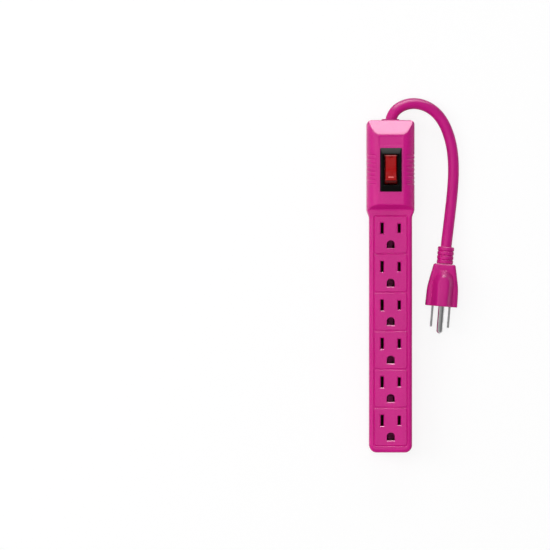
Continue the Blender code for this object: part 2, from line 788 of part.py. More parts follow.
def build_cover_screws():
    """Pan-head screws that go in from the back, each with a cross recess."""
    head_bottom = -SCREW_HEAD
    profile = [
        (0.0, SCREW_LENGTH),
        (SCREW_RADIUS, SCREW_LENGTH - SCREW_RADIUS),
        (SCREW_RADIUS, 0.0),
        (SCREW_HEAD_RADIUS, 0.0),
        (SCREW_HEAD_RADIUS, head_bottom * 0.5),
        (SCREW_HEAD_RADIUS * 0.75, head_bottom),
        (0.0, head_bottom),
    ]
    for number, (x, y) in enumerate(screw_places(), 1):
        place = Matrix.Translation((x, y, SCREW_SEAT))
        screw = turned(f"cover_screw_{number}", profile, place, steel(), steps=12)
        bm = bmesh.new()
        arm, slot, deep = SCREW_HEAD_RADIUS * 0.55, SCREW_HEAD_RADIUS * 0.12, SCREW_HEAD * 0.6
        low, high = SCREW_SEAT - 2 * SCREW_HEAD, SCREW_SEAT - SCREW_HEAD + deep
        cross = [(arm, slot), (slot, slot), (slot, arm)]
        outline = []
        for quarter in range(4):
            turn = Matrix.Rotation(quarter * math.pi / 2, 2)
            outline += [tuple(turn @ Vector(point)) for point in cross]
        outline_prism(bm, [(x + px, y + py) for px, py in outline], low, high)
        cut(screw, f"cross_recess_{number}", bm)


def sheet_outline(path, thickness):
    """The closed outline of a bent sheet seen on its edge, thickness wide about a path."""
    points = [Vector(p) for p in path]
    sides = []
    for side in (1, -1):
        row = []
        for i, point in enumerate(points):
            before = (point - points[i - 1]).normalized() if i else None
            after = (points[i + 1] - point).normalized() if i + 1 < len(points) else None
            along = ((before or after) + (after or before)).normalized()
            normal = Vector((-along.y, along.x))
            lean = normal.dot(Vector((-(before or after).y, (before or after).x)))
            row.append(point + normal * (side * thickness / 2 / lean))
        sides.append(row)
    return [tuple(p) for p in sides[0] + sides[1][::-1]]


def contact_outline(pinch, root):
    """A U of spring sheet seen along Y: two fingers that pinch a blade or a pin and flare at the top."""
    half = CONTACT_SHEET / 2
    bottom = BUS_BOTTOM + BUS_THICKNESS / 2
    finger = [
        (root - half, bottom),
        (root - half, bottom + 0.45 * (CONTACT_TOP - bottom)),
        (pinch + half, CONTACT_TOP - 2.6 * MM),
        (pinch + 1.6 * half + 0.4 * MM, CONTACT_TOP),
    ]
    return sheet_outline([(-x, z) for x, z in reversed(finger)] + finger, CONTACT_SHEET)


def build_bus(name, x, width, rows, contact, length, tail):
    """One bus bar: a strip with a spring contact at each outlet."""
    bm = bmesh.new()
    low = (x - width / 2, rows[-1] - tail, BUS_BOTTOM)
    add_box(bm, low, (x + width / 2, BUS_START, BUS_BOTTOM + BUS_THICKNESS))
    bar = part_of(name, bm, brass(), smooth=False)
    fingers = bmesh.new()
    for row in rows:
        rings = [[(x + px, row + s * length / 2, pz) for px, pz in contact] for s in (1, -1)]
        add_loft(fingers, rings)
    join(bar, name + "_contacts", fingers)
    return bar


def build_bus_bars():
    live = contact_outline(BLADE_PINCH, LIVE_BUS_WIDTH / 2 - 0.1 * MM)
    earth = contact_outline(PIN_PINCH, GROUND_BUS_WIDTH / 2 - 0.1 * MM)
    build_bus("neutral_bus", -LINE_X, LIVE_BUS_WIDTH, SLOT_ROWS, live, CONTACT_LENGTH, BUS_TAIL)
    build_bus("line_bus", LINE_X, LIVE_BUS_WIDTH, SLOT_ROWS, live, CONTACT_LENGTH, BUS_TAIL)
    grounds = [row - GROUND_DROP for row in SLOT_ROWS]
    bar = build_bus("ground_bus", 0.0, GROUND_BUS_WIDTH, grounds, earth, GROUND_CONTACT_LENGTH, BUS_TAIL)
    holes = bmesh.new()
    for y in grounds:
        add_cylinder(holes, (0, y, FLOOR), (0, y, BUS_BOTTOM + 2 * BUS_THICKNESS), PIN_PASS, segments=16)
    cut(bar, "ground_pin_holes", holes)


def build_switch_frame():
    """The black snap-in frame: raised bezel, stepped window, tube, pivot holes and latches."""
    bm = bmesh.new()
    top = HEAD_HEIGHT + GAP + BEZEL_RISE
    land_x, land_y = WINDOW[0] / 2 + BEZEL_LAND, WINDOW[1] / 2 + BEZEL_LAND
    rings = [
        slot_ring(BEZEL[0] / 2, BEZEL[1] / 2, 0.0, SWITCH_Y, HEAD_HEIGHT + GAP),
        slot_ring(land_x, land_y, 0.0, SWITCH_Y, top),
    ]
    add_loft(bm, rings)
    frame = part_of("switch_frame", bm, black_plastic(), smooth=False)
    tube_body = bmesh.new()
    low = (-TUBE_X, SWITCH_Y - TUBE_Y, TUBE_BOTTOM)
    add_box(tube_body, low, (TUBE_X, SWITCH_Y + TUBE_Y, HEAD_HEIGHT + BEZEL_RISE / 2))
    join(frame, "frame_tube", tube_body)
    latches = bmesh.new()
    catch = HEAD_HEIGHT - WALL - GAP
    for side in (1, -1):
        wedge = [(TUBE_Y - GAP, catch - 3 * LATCH), (TUBE_Y - GAP, catch), (TUBE_Y + LATCH, catch)]
        rings = [[(x, SWITCH_Y + side * wy, wz) for wy, wz in wedge] for x in (-3 * MM, 3 * MM)]
        add_loft(latches, rings)
    join(frame, "frame_latches", latches)
    holes = bmesh.new()
    low = (-WINDOW[0] / 2, SWITCH_Y - WINDOW[1] / 2, top - WINDOW_DEPTH)
    add_box(holes, low, (WINDOW[0] / 2, SWITCH_Y + WINDOW[1] / 2, top + WALL))
    cut(frame, "frame_window", holes)
    well = bmesh.new()
    low = (-WELL_X, SWITCH_Y - WELL_Y, TUBE_BOTTOM - WALL)
    add_box(well, low, (WELL_X, SWITCH_Y + WELL_Y, top + WALL))
    cut(frame, "frame_well", well)
    pivots = bmesh.new()
    reach = PIVOT_REACH + GAP
    ends = [(side * reach, SWITCH_Y, PIVOT_Z) for side in (-1, 1)]
    add_cylinder(pivots, *ends, PIVOT_RADIUS + GAP, segments=20)
    cut(frame, "frame_pivots", pivots)
    return frame


def terminal_slots():
    """Where the three terminals pass through the switch's base: the middle of each along Y."""
    return [0.0, LINE_TERMINAL_AT, LAMP_TERMINAL_AT]


def build_switch_base():
    """The black base under the frame: terminal slots and cradles for the lamp and its resistor."""
    plate_top = TUBE_BOTTOM - GAP
    bm = bmesh.new()
    low = (-TUBE_X, SWITCH_Y - TUBE_Y, plate_top - BASE_PLATE)
    add_box(bm, low, (TUBE_X, SWITCH_Y + TUBE_Y, plate_top))
    base = part_of("switch_base", bm, black_plastic(), smooth=False)
    plug = bmesh.new()
    x, y = WELL_X - GAP, WELL_Y - GAP
    add_box(plug, (-x, SWITCH_Y - y, plate_top - GAP), (x, SWITCH_Y + y, plate_top + BASE_PLUG))
    join(base, "base_plug", plug)
    cradles = bmesh.new()
    for at, lift in ((LAMP_AT, LAMP_RADIUS), (RESISTOR_AT, LEAD_RADIUS)):
        for side in (-1, 1):
            inner, outer = sorted((side * CRADLE[0], side * CRADLE[1]))
            low = (inner, SWITCH_Y + at - CRADLE_DEPTH / 2, plate_top)
            add_box(cradles, low, (outer, SWITCH_Y + at + CRADLE_DEPTH / 2, LAMP_Z - lift - GAP))
    join(base, "base_cradles", cradles)
    slots = bmesh.new()
    wide, thick = TERMINAL_WIDTH / 2 + GAP, TERMINAL_THICKNESS / 2 + GAP
    for at in terminal_slots():
        y = SWITCH_Y + at
        add_box(slots, (-wide, y - thick, plate_top - WALL - GAP), (wide, y + thick, plate_top + WALL))
    cut(base, "terminal_slots", slots)
    return base


def rocker_outline(steps=8):
    """The rocker seen from its side about its pivot: hollowed top, arc ends about the pivot, flat skirt."""
    rim_y = math.sqrt(ROCKER_REACH**2 - ROCKER_RIM**2)
    top = []
    for i in range(steps + 1):
        share = 2 * i / steps - 1
        top.append((share * rim_y, ROCKER_MIDDLE + (ROCKER_RIM - ROCKER_MIDDLE) * share * share))
    start = math.asin(ROCKER_RIM / ROCKER_REACH)
    end = -math.asin(ROCKER_SKIRT / ROCKER_REACH)
    arc = [start + (end - start) * i / 6 for i in range(1, 7)]
    right = [(ROCKER_REACH * math.cos(a), ROCKER_REACH * math.sin(a)) for a in arc]
    left = [(-y, z) for y, z in reversed(right)]
    return top + right + left


def build_rocker():
    """The red rocker with its pocket, pivot stubs and the post that guides the plunger."""
    tilt = bpy.data.objects.new("rocker_axis", None)
    link(tilt)
    tilt.location = (0.0, SWITCH_Y, PIVOT_Z)
    tilt.rotation_euler = (-ROCKER_TILT, 0.0, 0.0)
    bpy.context.view_layer.update()
    at_rest = tilt.matrix_world.copy()
    rocker = plate("rocker", rocker_outline(), ROCKER_WIDTH, at_rest @ in_yz(0, 0, 0), red_lens())
    pocket = bmesh.new()
    x = ROCKER_WIDTH / 2 - ROCKER_WALL
    y = ROCKER_REACH - 2 * ROCKER_WALL
    add_box(pocket, (-x, -y, -2 * ROCKER_SKIRT), (x, y, ROCKER_MIDDLE - ROCKER_ROOF))
    pocket.transform(at_rest)
    cut(rocker, "rocker_pocket", pocket)
    guide = bmesh.new()
    low = (-POST_HALF, -POST_HALF, -POST_DEPTH)
    add_box(guide, low, (POST_HALF, POST_HALF, ROCKER_MIDDLE - ROCKER_ROOF / 2))
    for side in (-1, 1):
        ends = [(side * (ROCKER_WIDTH / 2 - ROCKER_WALL / 2), 0, 0), (side * PIVOT_REACH, 0, 0)]
        add_cylinder(guide, *ends, PIVOT_RADIUS, segments=20)
    guide.transform(at_rest)
    join(rocker, "rocker_post_and_pivots", guide)
    bore = bmesh.new()
    add_cylinder(bore, (0, 0, -POST_DEPTH - GAP), (0, 0, SPRING_TOP + GAP), POST_BORE, segments=16)
    bore.transform(at_rest)
    cut(rocker, "rocker_bore", bore)
    parent_to(rocker, tilt)
    build_plunger(tilt, at_rest)
    return tilt


def parent_to(obj, empty):
    """Hangs an object on an empty without moving it."""
    bpy.context.view_layer.update()
    obj.parent = empty
    obj.matrix_parent_inverse = empty.matrix_world.inverted()


def build_plunger(tilt, at_rest):
    """The spring-loaded pin in the rocker's post, and its spring."""
    low = -PLUNGER_TIP
    tip = [math.pi / 2 * i / 4 for i in range(5)]
    profile = [(PLUNGER_RADIUS * math.sin(a), low + PLUNGER_RADIUS * (1 - math.cos(a))) for a in tip]
    profile = [(0.0, -PLUNGER_TOP), (PLUNGER_RADIUS, -PLUNGER_TOP)] + profile[::-1]
    parent_to(turned("plunger", profile, at_rest, nickel(), steps=14), tilt)
    turns = []
    per_turn = 10
    bottom, top = -PLUNGER_TOP + GAP + SPRING_WIRE, SPRING_TOP - SPRING_WIRE
    for i in range(SPRING_TURNS * per_turn + 1):
        angle = 2 * math.pi * i / per_turn
        height = bottom + (top - bottom) * i / (SPRING_TURNS * per_turn)
        spot = (SPRING_RADIUS * math.cos(angle), SPRING_RADIUS * math.sin(angle), height)
        turns.append(tuple(at_rest @ Vector(spot)))
    parent_to(tube("plunger_spring", turns, SPRING_WIRE, steel(), resolution=1), tilt)


def build_contact_lever():
    """The rocking contact: a bent strip on the fulcrum, with a contact dome under its cord end."""
    axis = bpy.data.objects.new("lever_axis", None)
    link(axis)
    axis.location = (0.0, SWITCH_Y, FULCRUM_Z)
    axis.rotation_euler = (LEVER_TILT, 0.0, 0.0)
    bpy.context.view_layer.update()
    at_rest = axis.matrix_world.copy()
    middle = LEVER_THICKNESS / 2 + GAP
    rise = LEVER_THICKNESS / 4
    path = [(-LEVER_HALF, middle), (-3 * MM, middle + rise), (0, middle), (3 * MM, middle + rise)]
    outline = sheet_outline(path + [(LEVER_HALF, middle)], LEVER_THICKNESS)
    lever = plate("contact_lever", outline, LEVER_WIDTH, at_rest @ in_yz(0, 0, 0), brass())
    dome = bmesh.new()
    under = middle - LEVER_THICKNESS / 2 - CONTACT_DOME
    add_cylinder(dome, (0, CONTACT_REACH, under), (0, CONTACT_REACH, middle), 1.0 * MM, 1.3 * MM, 14)
    dome.transform(at_rest)
    join(lever, "lever_contact", dome)
    parent_to(lever, axis)


def build_terminals():
    """The brass terminals: load in the middle, line under the lever's contact, lamp at the other end."""
    half = TERMINAL_WIDTH / 2
    thick = TERMINAL_THICKNESS
    load = [(-half, TERMINAL_BOTTOM), (half, TERMINAL_BOTTOM), (half, FULCRUM_Z - 1.2 * MM)]
    load += [(0.6 * MM, FULCRUM_Z), (-0.6 * MM, FULCRUM_Z), (-half, FULCRUM_Z - 1.2 * MM)]
    plate("load_terminal", load, thick, in_xz(0, SWITCH_Y, 0), brass())
    arm = TUBE_BOTTOM + BASE_PLUG + thick / 2 + GAP / 2
    line = [(LINE_TERMINAL_AT, TERMINAL_BOTTOM), (LINE_TERMINAL_AT, arm), (CONTACT_REACH - 1.6 * MM, arm)]
    outline = sheet_outline(line, thick)
    terminal = plate("line_terminal", outline, TERMINAL_WIDTH, in_yz(0, SWITCH_Y, 0), brass())
    dome = bmesh.new()
    y = SWITCH_Y + CONTACT_REACH
    top = arm + thick / 2 + CONTACT_DOME
    add_cylinder(dome, (0, y, arm), (0, y, top), 1.3 * MM, 1.0 * MM, 14)
    join(terminal, "line_contact", dome)
    lamp_top = LAMP_Z - LAMP_RADIUS
    lamp = [(-half, TERMINAL_BOTTOM), (half, TERMINAL_BOTTOM), (half, lamp_top), (-half, lamp_top)]
    plate("lamp_terminal", lamp, thick, in_xz(0, SWITCH_Y + LAMP_TERMINAL_AT, 0), brass())


def build_lamp():
    """The neon lamp and its resistor, lying across the well on the base's cradles."""
    glass = material("lamp_glass", (0.75, 0.68, 0.62), 0.05)
    half = WELL_X - GAP
    across = Matrix.Rotation(math.radians(90), 4, "Y")
    tip = 1.6 * MM
    bulb = [(0.0, half), (LEAD_RADIUS, half - GAP), (LAMP_RADIUS, half - tip), (LAMP_RADIUS, -half + GAP)]
    bulb += [(LAMP_RADIUS - GAP, -half), (0.0, -half)]
    place = Matrix.Translation((0, SWITCH_Y + LAMP_AT, LAMP_Z)) @ across
    turned("neon_lamp", bulb, place, glass, steps=14)
    enamel = material("resistor_enamel", (0.5, 0.36, 0.2), 0.5)
    body = 3.0 * MM - GAP
    shape = [(0.0, half), (LEAD_RADIUS, half), (LEAD_RADIUS, body), (RESISTOR_RADIUS, body - GAP)]
    shape += [(RESISTOR_RADIUS, -body + GAP), (LEAD_RADIUS, -body), (LEAD_RADIUS, -half), (0.0, -half)]
    place = Matrix.Translation((0, SWITCH_Y + RESISTOR_AT, LAMP_Z)) @ across
    turned("lamp_resistor", shape, place, enamel, steps=12)


def build_cord_grip():
    """The bush that holds the cord in the end wall: inner flange, neck and outer collar."""
    bore = CORD_RADIUS + GAP
    neck = bore + GRIP_WALL
    flange = neck + GRIP_FLANGE
    inner = -TRAY_WALL - GAP
    profile = [
        (bore, inner - 2 * GRIP_FLANGE),
        (bore, -WALL),
        (bore + GRIP_FLARE, GRIP_COLLAR),
        (neck - GAP, GRIP_COLLAR),
        (neck, GRIP_COLLAR / 2),
        (neck, inner),
        (flange, inner),
        (flange, inner - GRIP_FLANGE),
        (neck, inner - GRIP_FLANGE),
        (neck, inner - 2 * GRIP_FLANGE),
    ]
    turned("cord_grip", profile, along_y(0, END_Y, CORD_EXIT_Z), case_plastic(), steps=28)


def build_cord():
    route = [tuple(value * MM for value in point) for point in CORD_ROUTE]
    tube("cord", smooth_path(route, CORD_STEP), CORD_RADIUS, case_plastic(), resolution=4)


def build_wires():
    """The cord's three conductors, the lead from the switch to the line bus, and the lamp's lead."""
    black = material("black_wire", (0.015, 0.015, 0.015), 0.45)
    white = material("white_wire", (0.8, 0.8, 0.78), 0.45)
    green = material("green_wire", (0.02, 0.28, 0.08), 0.45)
    for name, finish, radius, route in (
        ("line_wire", black, WIRE_RADIUS, LINE_WIRE_ROUTE),
        ("neutral_wire", white, WIRE_RADIUS, NEUTRAL_WIRE_ROUTE),
        ("ground_wire", green, WIRE_RADIUS, GROUND_WIRE_ROUTE),
        ("load_wire", black, WIRE_RADIUS, LOAD_WIRE_ROUTE),
        ("lamp_wire", white, LAMP_WIRE_RADIUS, LAMP_WIRE_ROUTE),
    ):
        tube(name, smooth_path([tuple(v * MM for v in p) for p in route], 2.6 * WIRE_RADIUS), radius, finish)


def plug_frame():
    """An empty in the middle of the plug's front face; +Y runs back along the cord."""
    frame = bpy.data.objects.new("plug_frame", None)
    link(frame)
    frame.location = (*PLUG_AT, 0.0)
    frame.rotation_euler = (0.0, 0.0, PLUG_TURN)
    bpy.context.view_layer.update()
    return frame


def rounded_ring(half, low, high, radius, y, steps=3):
    """A rounded rectangle across the plug at y."""
    points = []
    for cx, cz, start in (
        (half - radius, high - radius, 0.0),
        (-half + radius, high - radius, math.pi / 2),
        (-half + radius, low + radius, math.pi),
        (half - radius, low + radius, 1.5 * math.pi),
    ):
        for i in range(steps + 1):
            angle = start + math.pi / 2 * i / steps
            points.append((cx + radius * math.cos(angle), y, cz + radius * math.sin(angle)))
    return points


def build_plug_body(frame):
    """The moulded plug: a slab that narrows to the cord and a ridge over the ground pin."""
    place = frame.matrix_world.copy()
    bm = bmesh.new()
    rings = [
        rounded_ring(PLUG_FRONT_WIDTH / 2, 0.0, PLUG_SLAB_HEIGHT, PLUG_CORNER, 0.0),
        rounded_ring(PLUG_WAIST_WIDTH / 2, 0.0, PLUG_SLAB_HEIGHT, PLUG_CORNER, PLUG_WAIST),
        rounded_ring(PLUG_BACK_WIDTH / 2, 0.6 * MM, PLUG_BACK_HEIGHT, PLUG_CORNER, PLUG_LENGTH),
    ]
    add_loft(bm, rings)
    bm.transform(place)
    body = part_of("plug_body", bm, case_plastic())
    ridge = bmesh.new()
    low = PLUG_SLAB_HEIGHT / 2
    half = RIDGE_WIDTH / 2
    rings = [
        rounded_ring(half, low, PLUG_TOP_HEIGHT, half * 0.55, 0.3 * MM),
        rounded_ring(half, low, PLUG_TOP_HEIGHT - 1.0 * MM, half * 0.55, RIDGE_LENGTH * 0.55),
        rounded_ring(half * 0.35, low, PLUG_SLAB_HEIGHT + 1.5 * MM, half * 0.3, RIDGE_LENGTH),
    ]
    add_loft(ridge, rings)
    ridge.transform(place)
    join(body, "plug_ridge", ridge)
    holes = bmesh.new()
    wide, high, deep = (BRIDGE[0] / 2 + GAP, BRIDGE[1] / 2 + GAP, BRIDGE[2] + GAP)
    add_box(holes, (-wide, -WALL, BLADE_HEIGHT - high), (wide, deep, BLADE_HEIGHT + high))
    pin_z = BLADE_HEIGHT + GROUND_DROP
    ends = [(0, y, pin_z) for y in (-WALL, BLADE_TAIL + GAP)]
    add_cylinder(holes, *ends, GROUND_PIN_RADIUS + GAP, segments=20)
    holes.transform(place)
    cut(body, "plug_front_holes", holes)
    tails = bmesh.new()
    for side in (-1, 1):
        low, high = blade_box(side, GAP, deep / 2, BLADE_TAIL + GAP)
        add_box(tails, low, high)
    tails.transform(place)
    cut(body, "plug_tail_holes", tails)
    parent_to(body, frame)


def blade_box(side, grow, start, end):
    x = side * LINE_X
    half, high = BLADE[0] / 2 + grow, BLADE[1] / 2 + grow
    return (x - half, start, BLADE_HEIGHT - high), (x + half, end, BLADE_HEIGHT + high)


def build_plug_bridge(frame):
    """The hard block in the plug's front face that holds the two flat blades."""
    place = frame.matrix_world.copy()
    bm = bmesh.new()
    wide, high, deep = (BRIDGE[0] / 2, BRIDGE[1] / 2, BRIDGE[2])
    add_box(bm, (-wide, 0.0, BLADE_HEIGHT - high), (wide, deep, BLADE_HEIGHT + high))
    bm.transform(place)
    bridge = part_of("plug_bridge", bm, case_plastic(), smooth=False)
    holes = bmesh.new()
    for side in (-1, 1):
        add_box(holes, *blade_box(side, GAP, -WALL, BRIDGE[2] + WALL))
    holes.transform(place)
    cut(bridge, "bridge_holes", holes)
    parent_to(bridge, frame)


def build_blades(frame):
    """The two flat blades, each with its round hole, and the ground pin."""
    place = frame.matrix_world.copy()
    for name, side in (("neutral_blade", -1), ("line_blade", 1)):
        bm = bmesh.new()
        add_box(bm, *blade_box(side, 0.0, -BLADE[2], BLADE_TAIL))
        tip = [edge for edge in bm.edges if all(v.co.y < 0 for v in edge.verts)]
        bmesh.ops.bevel(bm, geom=tip, offset=0.5 * MM, segments=1, profile=0.5, affect="EDGES")
        bm.transform(place)
        blade = part_of(name, bm, nickel(), smooth=False)
        hole = bmesh.new()
        y = -BLADE[2] + BLADE_HOLE_FROM_TIP
        ends = [(side * (LINE_X + s * 2 * BLADE[0]), y, BLADE_HEIGHT) for s in (-1, 1)]
        add_cylinder(hole, *ends, BLADE_HOLE, segments=16)
        hole.transform(place)
        cut(blade, name + "_hole", hole)
        parent_to(blade, frame)
    radius = GROUND_PIN_RADIUS
    rounds = [math.pi / 2 * i / 5 for i in range(6)]
    tip = [(radius * math.sin(a), GROUND_PIN_LENGTH - radius + radius * math.cos(a)) for a in rounds]
    profile = tip + [(radius, -BLADE_TAIL), (0.0, -BLADE_TAIL)]
    forward = Matrix.Rotation(math.radians(90), 4, "X")
    spot = Matrix.Translation((0, 0, BLADE_HEIGHT + GROUND_DROP))
    parent_to(turned("ground_pin", profile, place @ spot @ forward, nickel(), steps=20), frame)


def build_plug_relief(frame):
    """The ribbed sleeve between the cord and the plug."""
    bore = CORD_RADIUS + GAP
    start = PLUG_LENGTH + GAP
    pitch = RELIEF_LENGTH / RELIEF_RINGS
    profile = [(bore, start), (bore, start + RELIEF_LENGTH)]
    for ring in reversed(range(RELIEF_RINGS)):
        low = start + ring * pitch
        profile.append((RELIEF_RADIUS - RELIEF_GROOVE / 2, low + pitch))
        profile.append((RELIEF_RADIUS, low + 0.75 * pitch))
        profile.append((RELIEF_RADIUS, low + 0.4 * pitch))
        profile.append((RELIEF_RADIUS - RELIEF_GROOVE, low + 0.15 * pitch))
    profile.append((RELIEF_RADIUS - RELIEF_GROOVE, start))
    place = frame.matrix_world @ along_y(0, 0, PLUG_CORD_HEIGHT)
    relief = turned("plug_strain_relief", profile, place, case_plastic(), steps=18)
    parent_to(relief, frame)


def main():
    clear_scene()
    build_top_cover()
    build_bottom_cover()
    build_cover_screws()
    build_bus_bars()
    build_switch_frame()
    build_switch_base()
    build_rocker()
    build_contact_lever()
    build_terminals()
    build_lamp()
    build_cord_grip()
    build_cord()
    build_wires()
    frame = plug_frame()
    build_plug_body(frame)
    build_plug_bridge(frame)
    build_blades(frame)
    build_plug_relief(frame)


main()
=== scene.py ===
"""A slim power strip with six grounded outlets, a lit rocker, a short cord and a grounded plug.

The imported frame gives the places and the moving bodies. Every surface here is worked out in millimetres with numpy
and put into the mesh in metres, in the frame's own axes: +Y runs to the cord end and +Z out of the outlets.
"""

import json
import logging
import math
from dataclasses import dataclass, field
from enum import Enum

import bmesh
import bpy
import numpy as np
from bpy.types import Material, Node, NodeSocket, Object
from mathutils import Matrix, Vector


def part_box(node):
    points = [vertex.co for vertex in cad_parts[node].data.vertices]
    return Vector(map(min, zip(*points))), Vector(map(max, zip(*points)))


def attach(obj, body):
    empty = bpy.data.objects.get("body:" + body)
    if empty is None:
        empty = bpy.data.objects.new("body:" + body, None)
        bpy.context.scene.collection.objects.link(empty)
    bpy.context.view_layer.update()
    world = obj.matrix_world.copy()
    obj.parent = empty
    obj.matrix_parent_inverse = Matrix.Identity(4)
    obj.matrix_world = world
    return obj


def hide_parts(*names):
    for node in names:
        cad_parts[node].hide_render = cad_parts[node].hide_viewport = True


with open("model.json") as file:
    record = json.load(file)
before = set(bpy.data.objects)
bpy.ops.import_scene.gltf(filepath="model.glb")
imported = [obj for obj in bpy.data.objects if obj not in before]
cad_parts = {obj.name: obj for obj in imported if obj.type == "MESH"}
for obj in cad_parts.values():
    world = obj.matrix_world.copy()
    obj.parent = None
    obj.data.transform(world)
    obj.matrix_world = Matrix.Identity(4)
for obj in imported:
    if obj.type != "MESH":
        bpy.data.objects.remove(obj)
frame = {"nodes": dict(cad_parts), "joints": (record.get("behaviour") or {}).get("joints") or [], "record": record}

LOG = logging.getLogger("power_strip")
MM = 0.001
Array = np.ndarray
Colour = tuple[float, float, float]


class Body(Enum):
    """The moving bodies of the frame."""

    STRIP = "strip"
    ROCKER = "rocker_body"


class Reach(Enum):
    """What a lamp lights."""

    SHADE = "diffuse"
    GLOSS = "glossy"
    BOTH = "both"


class Slot(Enum):
    """Names of the record's material slots; no piece here takes them."""

    CASE = "case"
    CORD = "cord"
    BLACK = "black"
    LENS = "lens"
    NICKEL = "nickel"


# ---------------------------------------------------------------- surfaces


def corner_loss(distance: Array, radius: float) -> Array:
    """How far a quarter-round edge falls short of the sharp one: r minus the root of r squared less (r - d) squared.

    Args:
        distance: Distance in from the edge.
        radius: Radius of the edge.

    Returns:
        The loss at each distance, nought from one radius in.
    """
    rest = np.clip(radius - np.asarray(distance, float), 0.0, radius)
    return radius - np.sqrt(radius * radius - rest * rest)


def smooth_min(a: Array, b: Array, ease: Array | float) -> Array:
    """The lower of two heights with their meeting line rounded: half of a + b less the root of (a - b)^2 + e^2."""
    return (a + b - np.sqrt((a - b) ** 2 + np.square(ease))) / 2


def smooth_max(a: Array, b: Array, ease: Array | float) -> Array:
    """The higher of two heights with their meeting line rounded."""
    return (a + b + np.sqrt((a - b) ** 2 + np.square(ease))) / 2


def ease_in(value: Array, low: float, high: float) -> Array:
    """0 below low, 1 above high, and 3t^2 - 2t^3 between them."""
    t = np.clip((np.asarray(value, float) - low) / (high - low), 0.0, 1.0)
    return t * t * (3 - 2 * t)


def plate_distance(x: Array, y: Array, half: tuple[float, float], radius: float) -> Array:
    """Signed distance to a rounded rectangle about the origin, negative inside.

    Args:
        x: Places across.
        y: Places along.
        half: Half the width and half the length.
        radius: Corner radius.

    Returns:
        The distance at each place.
    """
    across = np.abs(x) - (half[0] - radius)
    along = np.abs(y) - (half[1] - radius)
    outside = np.hypot(np.maximum(across, 0), np.maximum(along, 0))
    return outside + np.minimum(np.maximum(across, along), 0) - radius


def merged_lines(*parts: Array) -> Array:
    """All the parts' values in rising order, without near repeats."""
    values = np.unique(np.round(np.concatenate([np.atleast_1d(p) for p in parts]), 3))
    keep = np.concatenate([[True], np.diff(values) > 0.035])
    return values[keep]


def rounded_outline(half: tuple[float, float], radius: float, steps: int = 4) -> Array:
    """A rounded rectangle as points, anticlockwise: each corner's centre plus the radius at an angle.

    Args:
        half: Half the width and half the length.
        radius: Corner radius.
        steps: Spans in each corner.

    Returns:
        Points of shape (4 * (steps + 1), 2).
    """
    turn = np.linspace(0, math.pi / 2, steps + 1)
    signs = np.array([(1, 1), (-1, 1), (-1, -1), (1, -1)], float)
    centres = signs * (np.array(half) - radius)
    angles = (np.arange(4) * math.pi / 2)[:, None] + turn[None, :]
    arcs = np.stack([np.cos(angles), np.sin(angles)], axis=-1) * radius
    return (centres[:, None, :] + arcs).reshape(-1, 2)


def ring_quads(rings: int, points: int, close_rings: bool = False) -> Array:
    """The quads between neighbouring closed rings of one grid.

    Args:
        rings: How many rings.
        points: How many points each has.
        close_rings: Whether the last ring joins the first.

    Returns:
        Corner indices of shape (n, 4).
    """
    row = np.arange(rings if close_rings else rings - 1)[:, None]
    column = np.arange(points)[None, :]
    after_row, after_column = (row + 1) % rings, (column + 1) % points
    corners = (row * points + column, row * points + after_column)
    far = (after_row * points + after_column, after_row * points + column)
    return np.stack([*corners, *far], axis=-1).reshape(-1, 4)


def make_mesh(name: str, points: Array, faces: list[list[int]]) -> Object:
    """An object from points in millimetres, with its faces turned outwards.

    Args:
        name: Object name.
        points: Points of shape (n, 3) in millimetres.
        faces: Corner indices of each face.

    Returns:
        The linked object, at the origin.
    """
    mesh = bpy.data.meshes.new(name)
    mesh.from_pydata((np.asarray(points, float) * MM).tolist(), [], faces)
    bm = bmesh.new()
    bm.from_mesh(mesh)
    bmesh.ops.remove_doubles(bm, verts=bm.verts, dist=0.002 * MM)
    bmesh.ops.dissolve_degenerate(bm, edges=bm.edges, dist=0.001 * MM)
    bmesh.ops.recalc_face_normals(bm, faces=bm.faces)
    bm.to_mesh(mesh)
    bm.free()
    made = bpy.data.objects.new(name, mesh)
    bpy.context.scene.collection.objects.link(made)
    return made


def loft(name: str, rings: Array, closed: bool = False) -> Object:
    """A skin over a row of closed rings, capped flat at both ends or joined end to end.

    Args:
        name: Object name.
        rings: Points of shape (rings, points, 3) in millimetres.
        closed: Whether the last ring joins the first, as in a frame.

    Returns:
        The object.
    """
    count, around = rings.shape[:2]
    faces = ring_quads(count, around, closed).tolist()
    if not closed:
        faces.append(list(range(around))[::-1])
        faces.append(list(range((count - 1) * around, count * around)))
    return make_mesh(name, rings.reshape(-1, 3), faces)


def turned(name: str, profile: Array, place: Matrix, steps: int = 48) -> Object:
    """A turned piece: each (radius, height) of the profile carried round, x = r cos a and y = r sin a.

    Args:
        name: Object name.
        profile: Closed profile in millimetres, of shape (n, 2).
        place: Where its own Z axis stands, in millimetres.
        steps: Spans around.

    Returns:
        The object.
    """
    angle = np.linspace(0, 2 * math.pi, steps, endpoint=False)[:, None]
    radius, height = profile[None, :, 0], profile[None, :, 1]
    points = np.stack([radius * np.cos(angle), radius * np.sin(angle), height + 0 * angle], axis=-1)
    return loft(name, placed(points, place), closed=True)


def placed(points: Array, place: Matrix) -> Array:
    """The points carried by a 4 by 4 matrix whose shift is in millimetres."""
    turn = np.array(place, float)
    return points @ turn[:3, :3].T + turn[:3, 3]


def box_rings(low: tuple[float, float, float], high: tuple[float, float, float]) -> Array:
    """A box between two corners as two rings, bottom and top."""
    (x0, y0, z0), (x1, y1, z1) = low, high
    ring = np.array([(x0, y0), (x1, y0), (x1, y1), (x0, y1)], float)
    return np.stack([np.column_stack([ring, np.full(4, z)]) for z in (z0, z1)])


def upright(outline: Array, heights: list[float]) -> Array:
    """The same outline at each height, as rings."""
    return np.stack([np.column_stack([outline, np.full(len(outline), z)]) for z in heights])


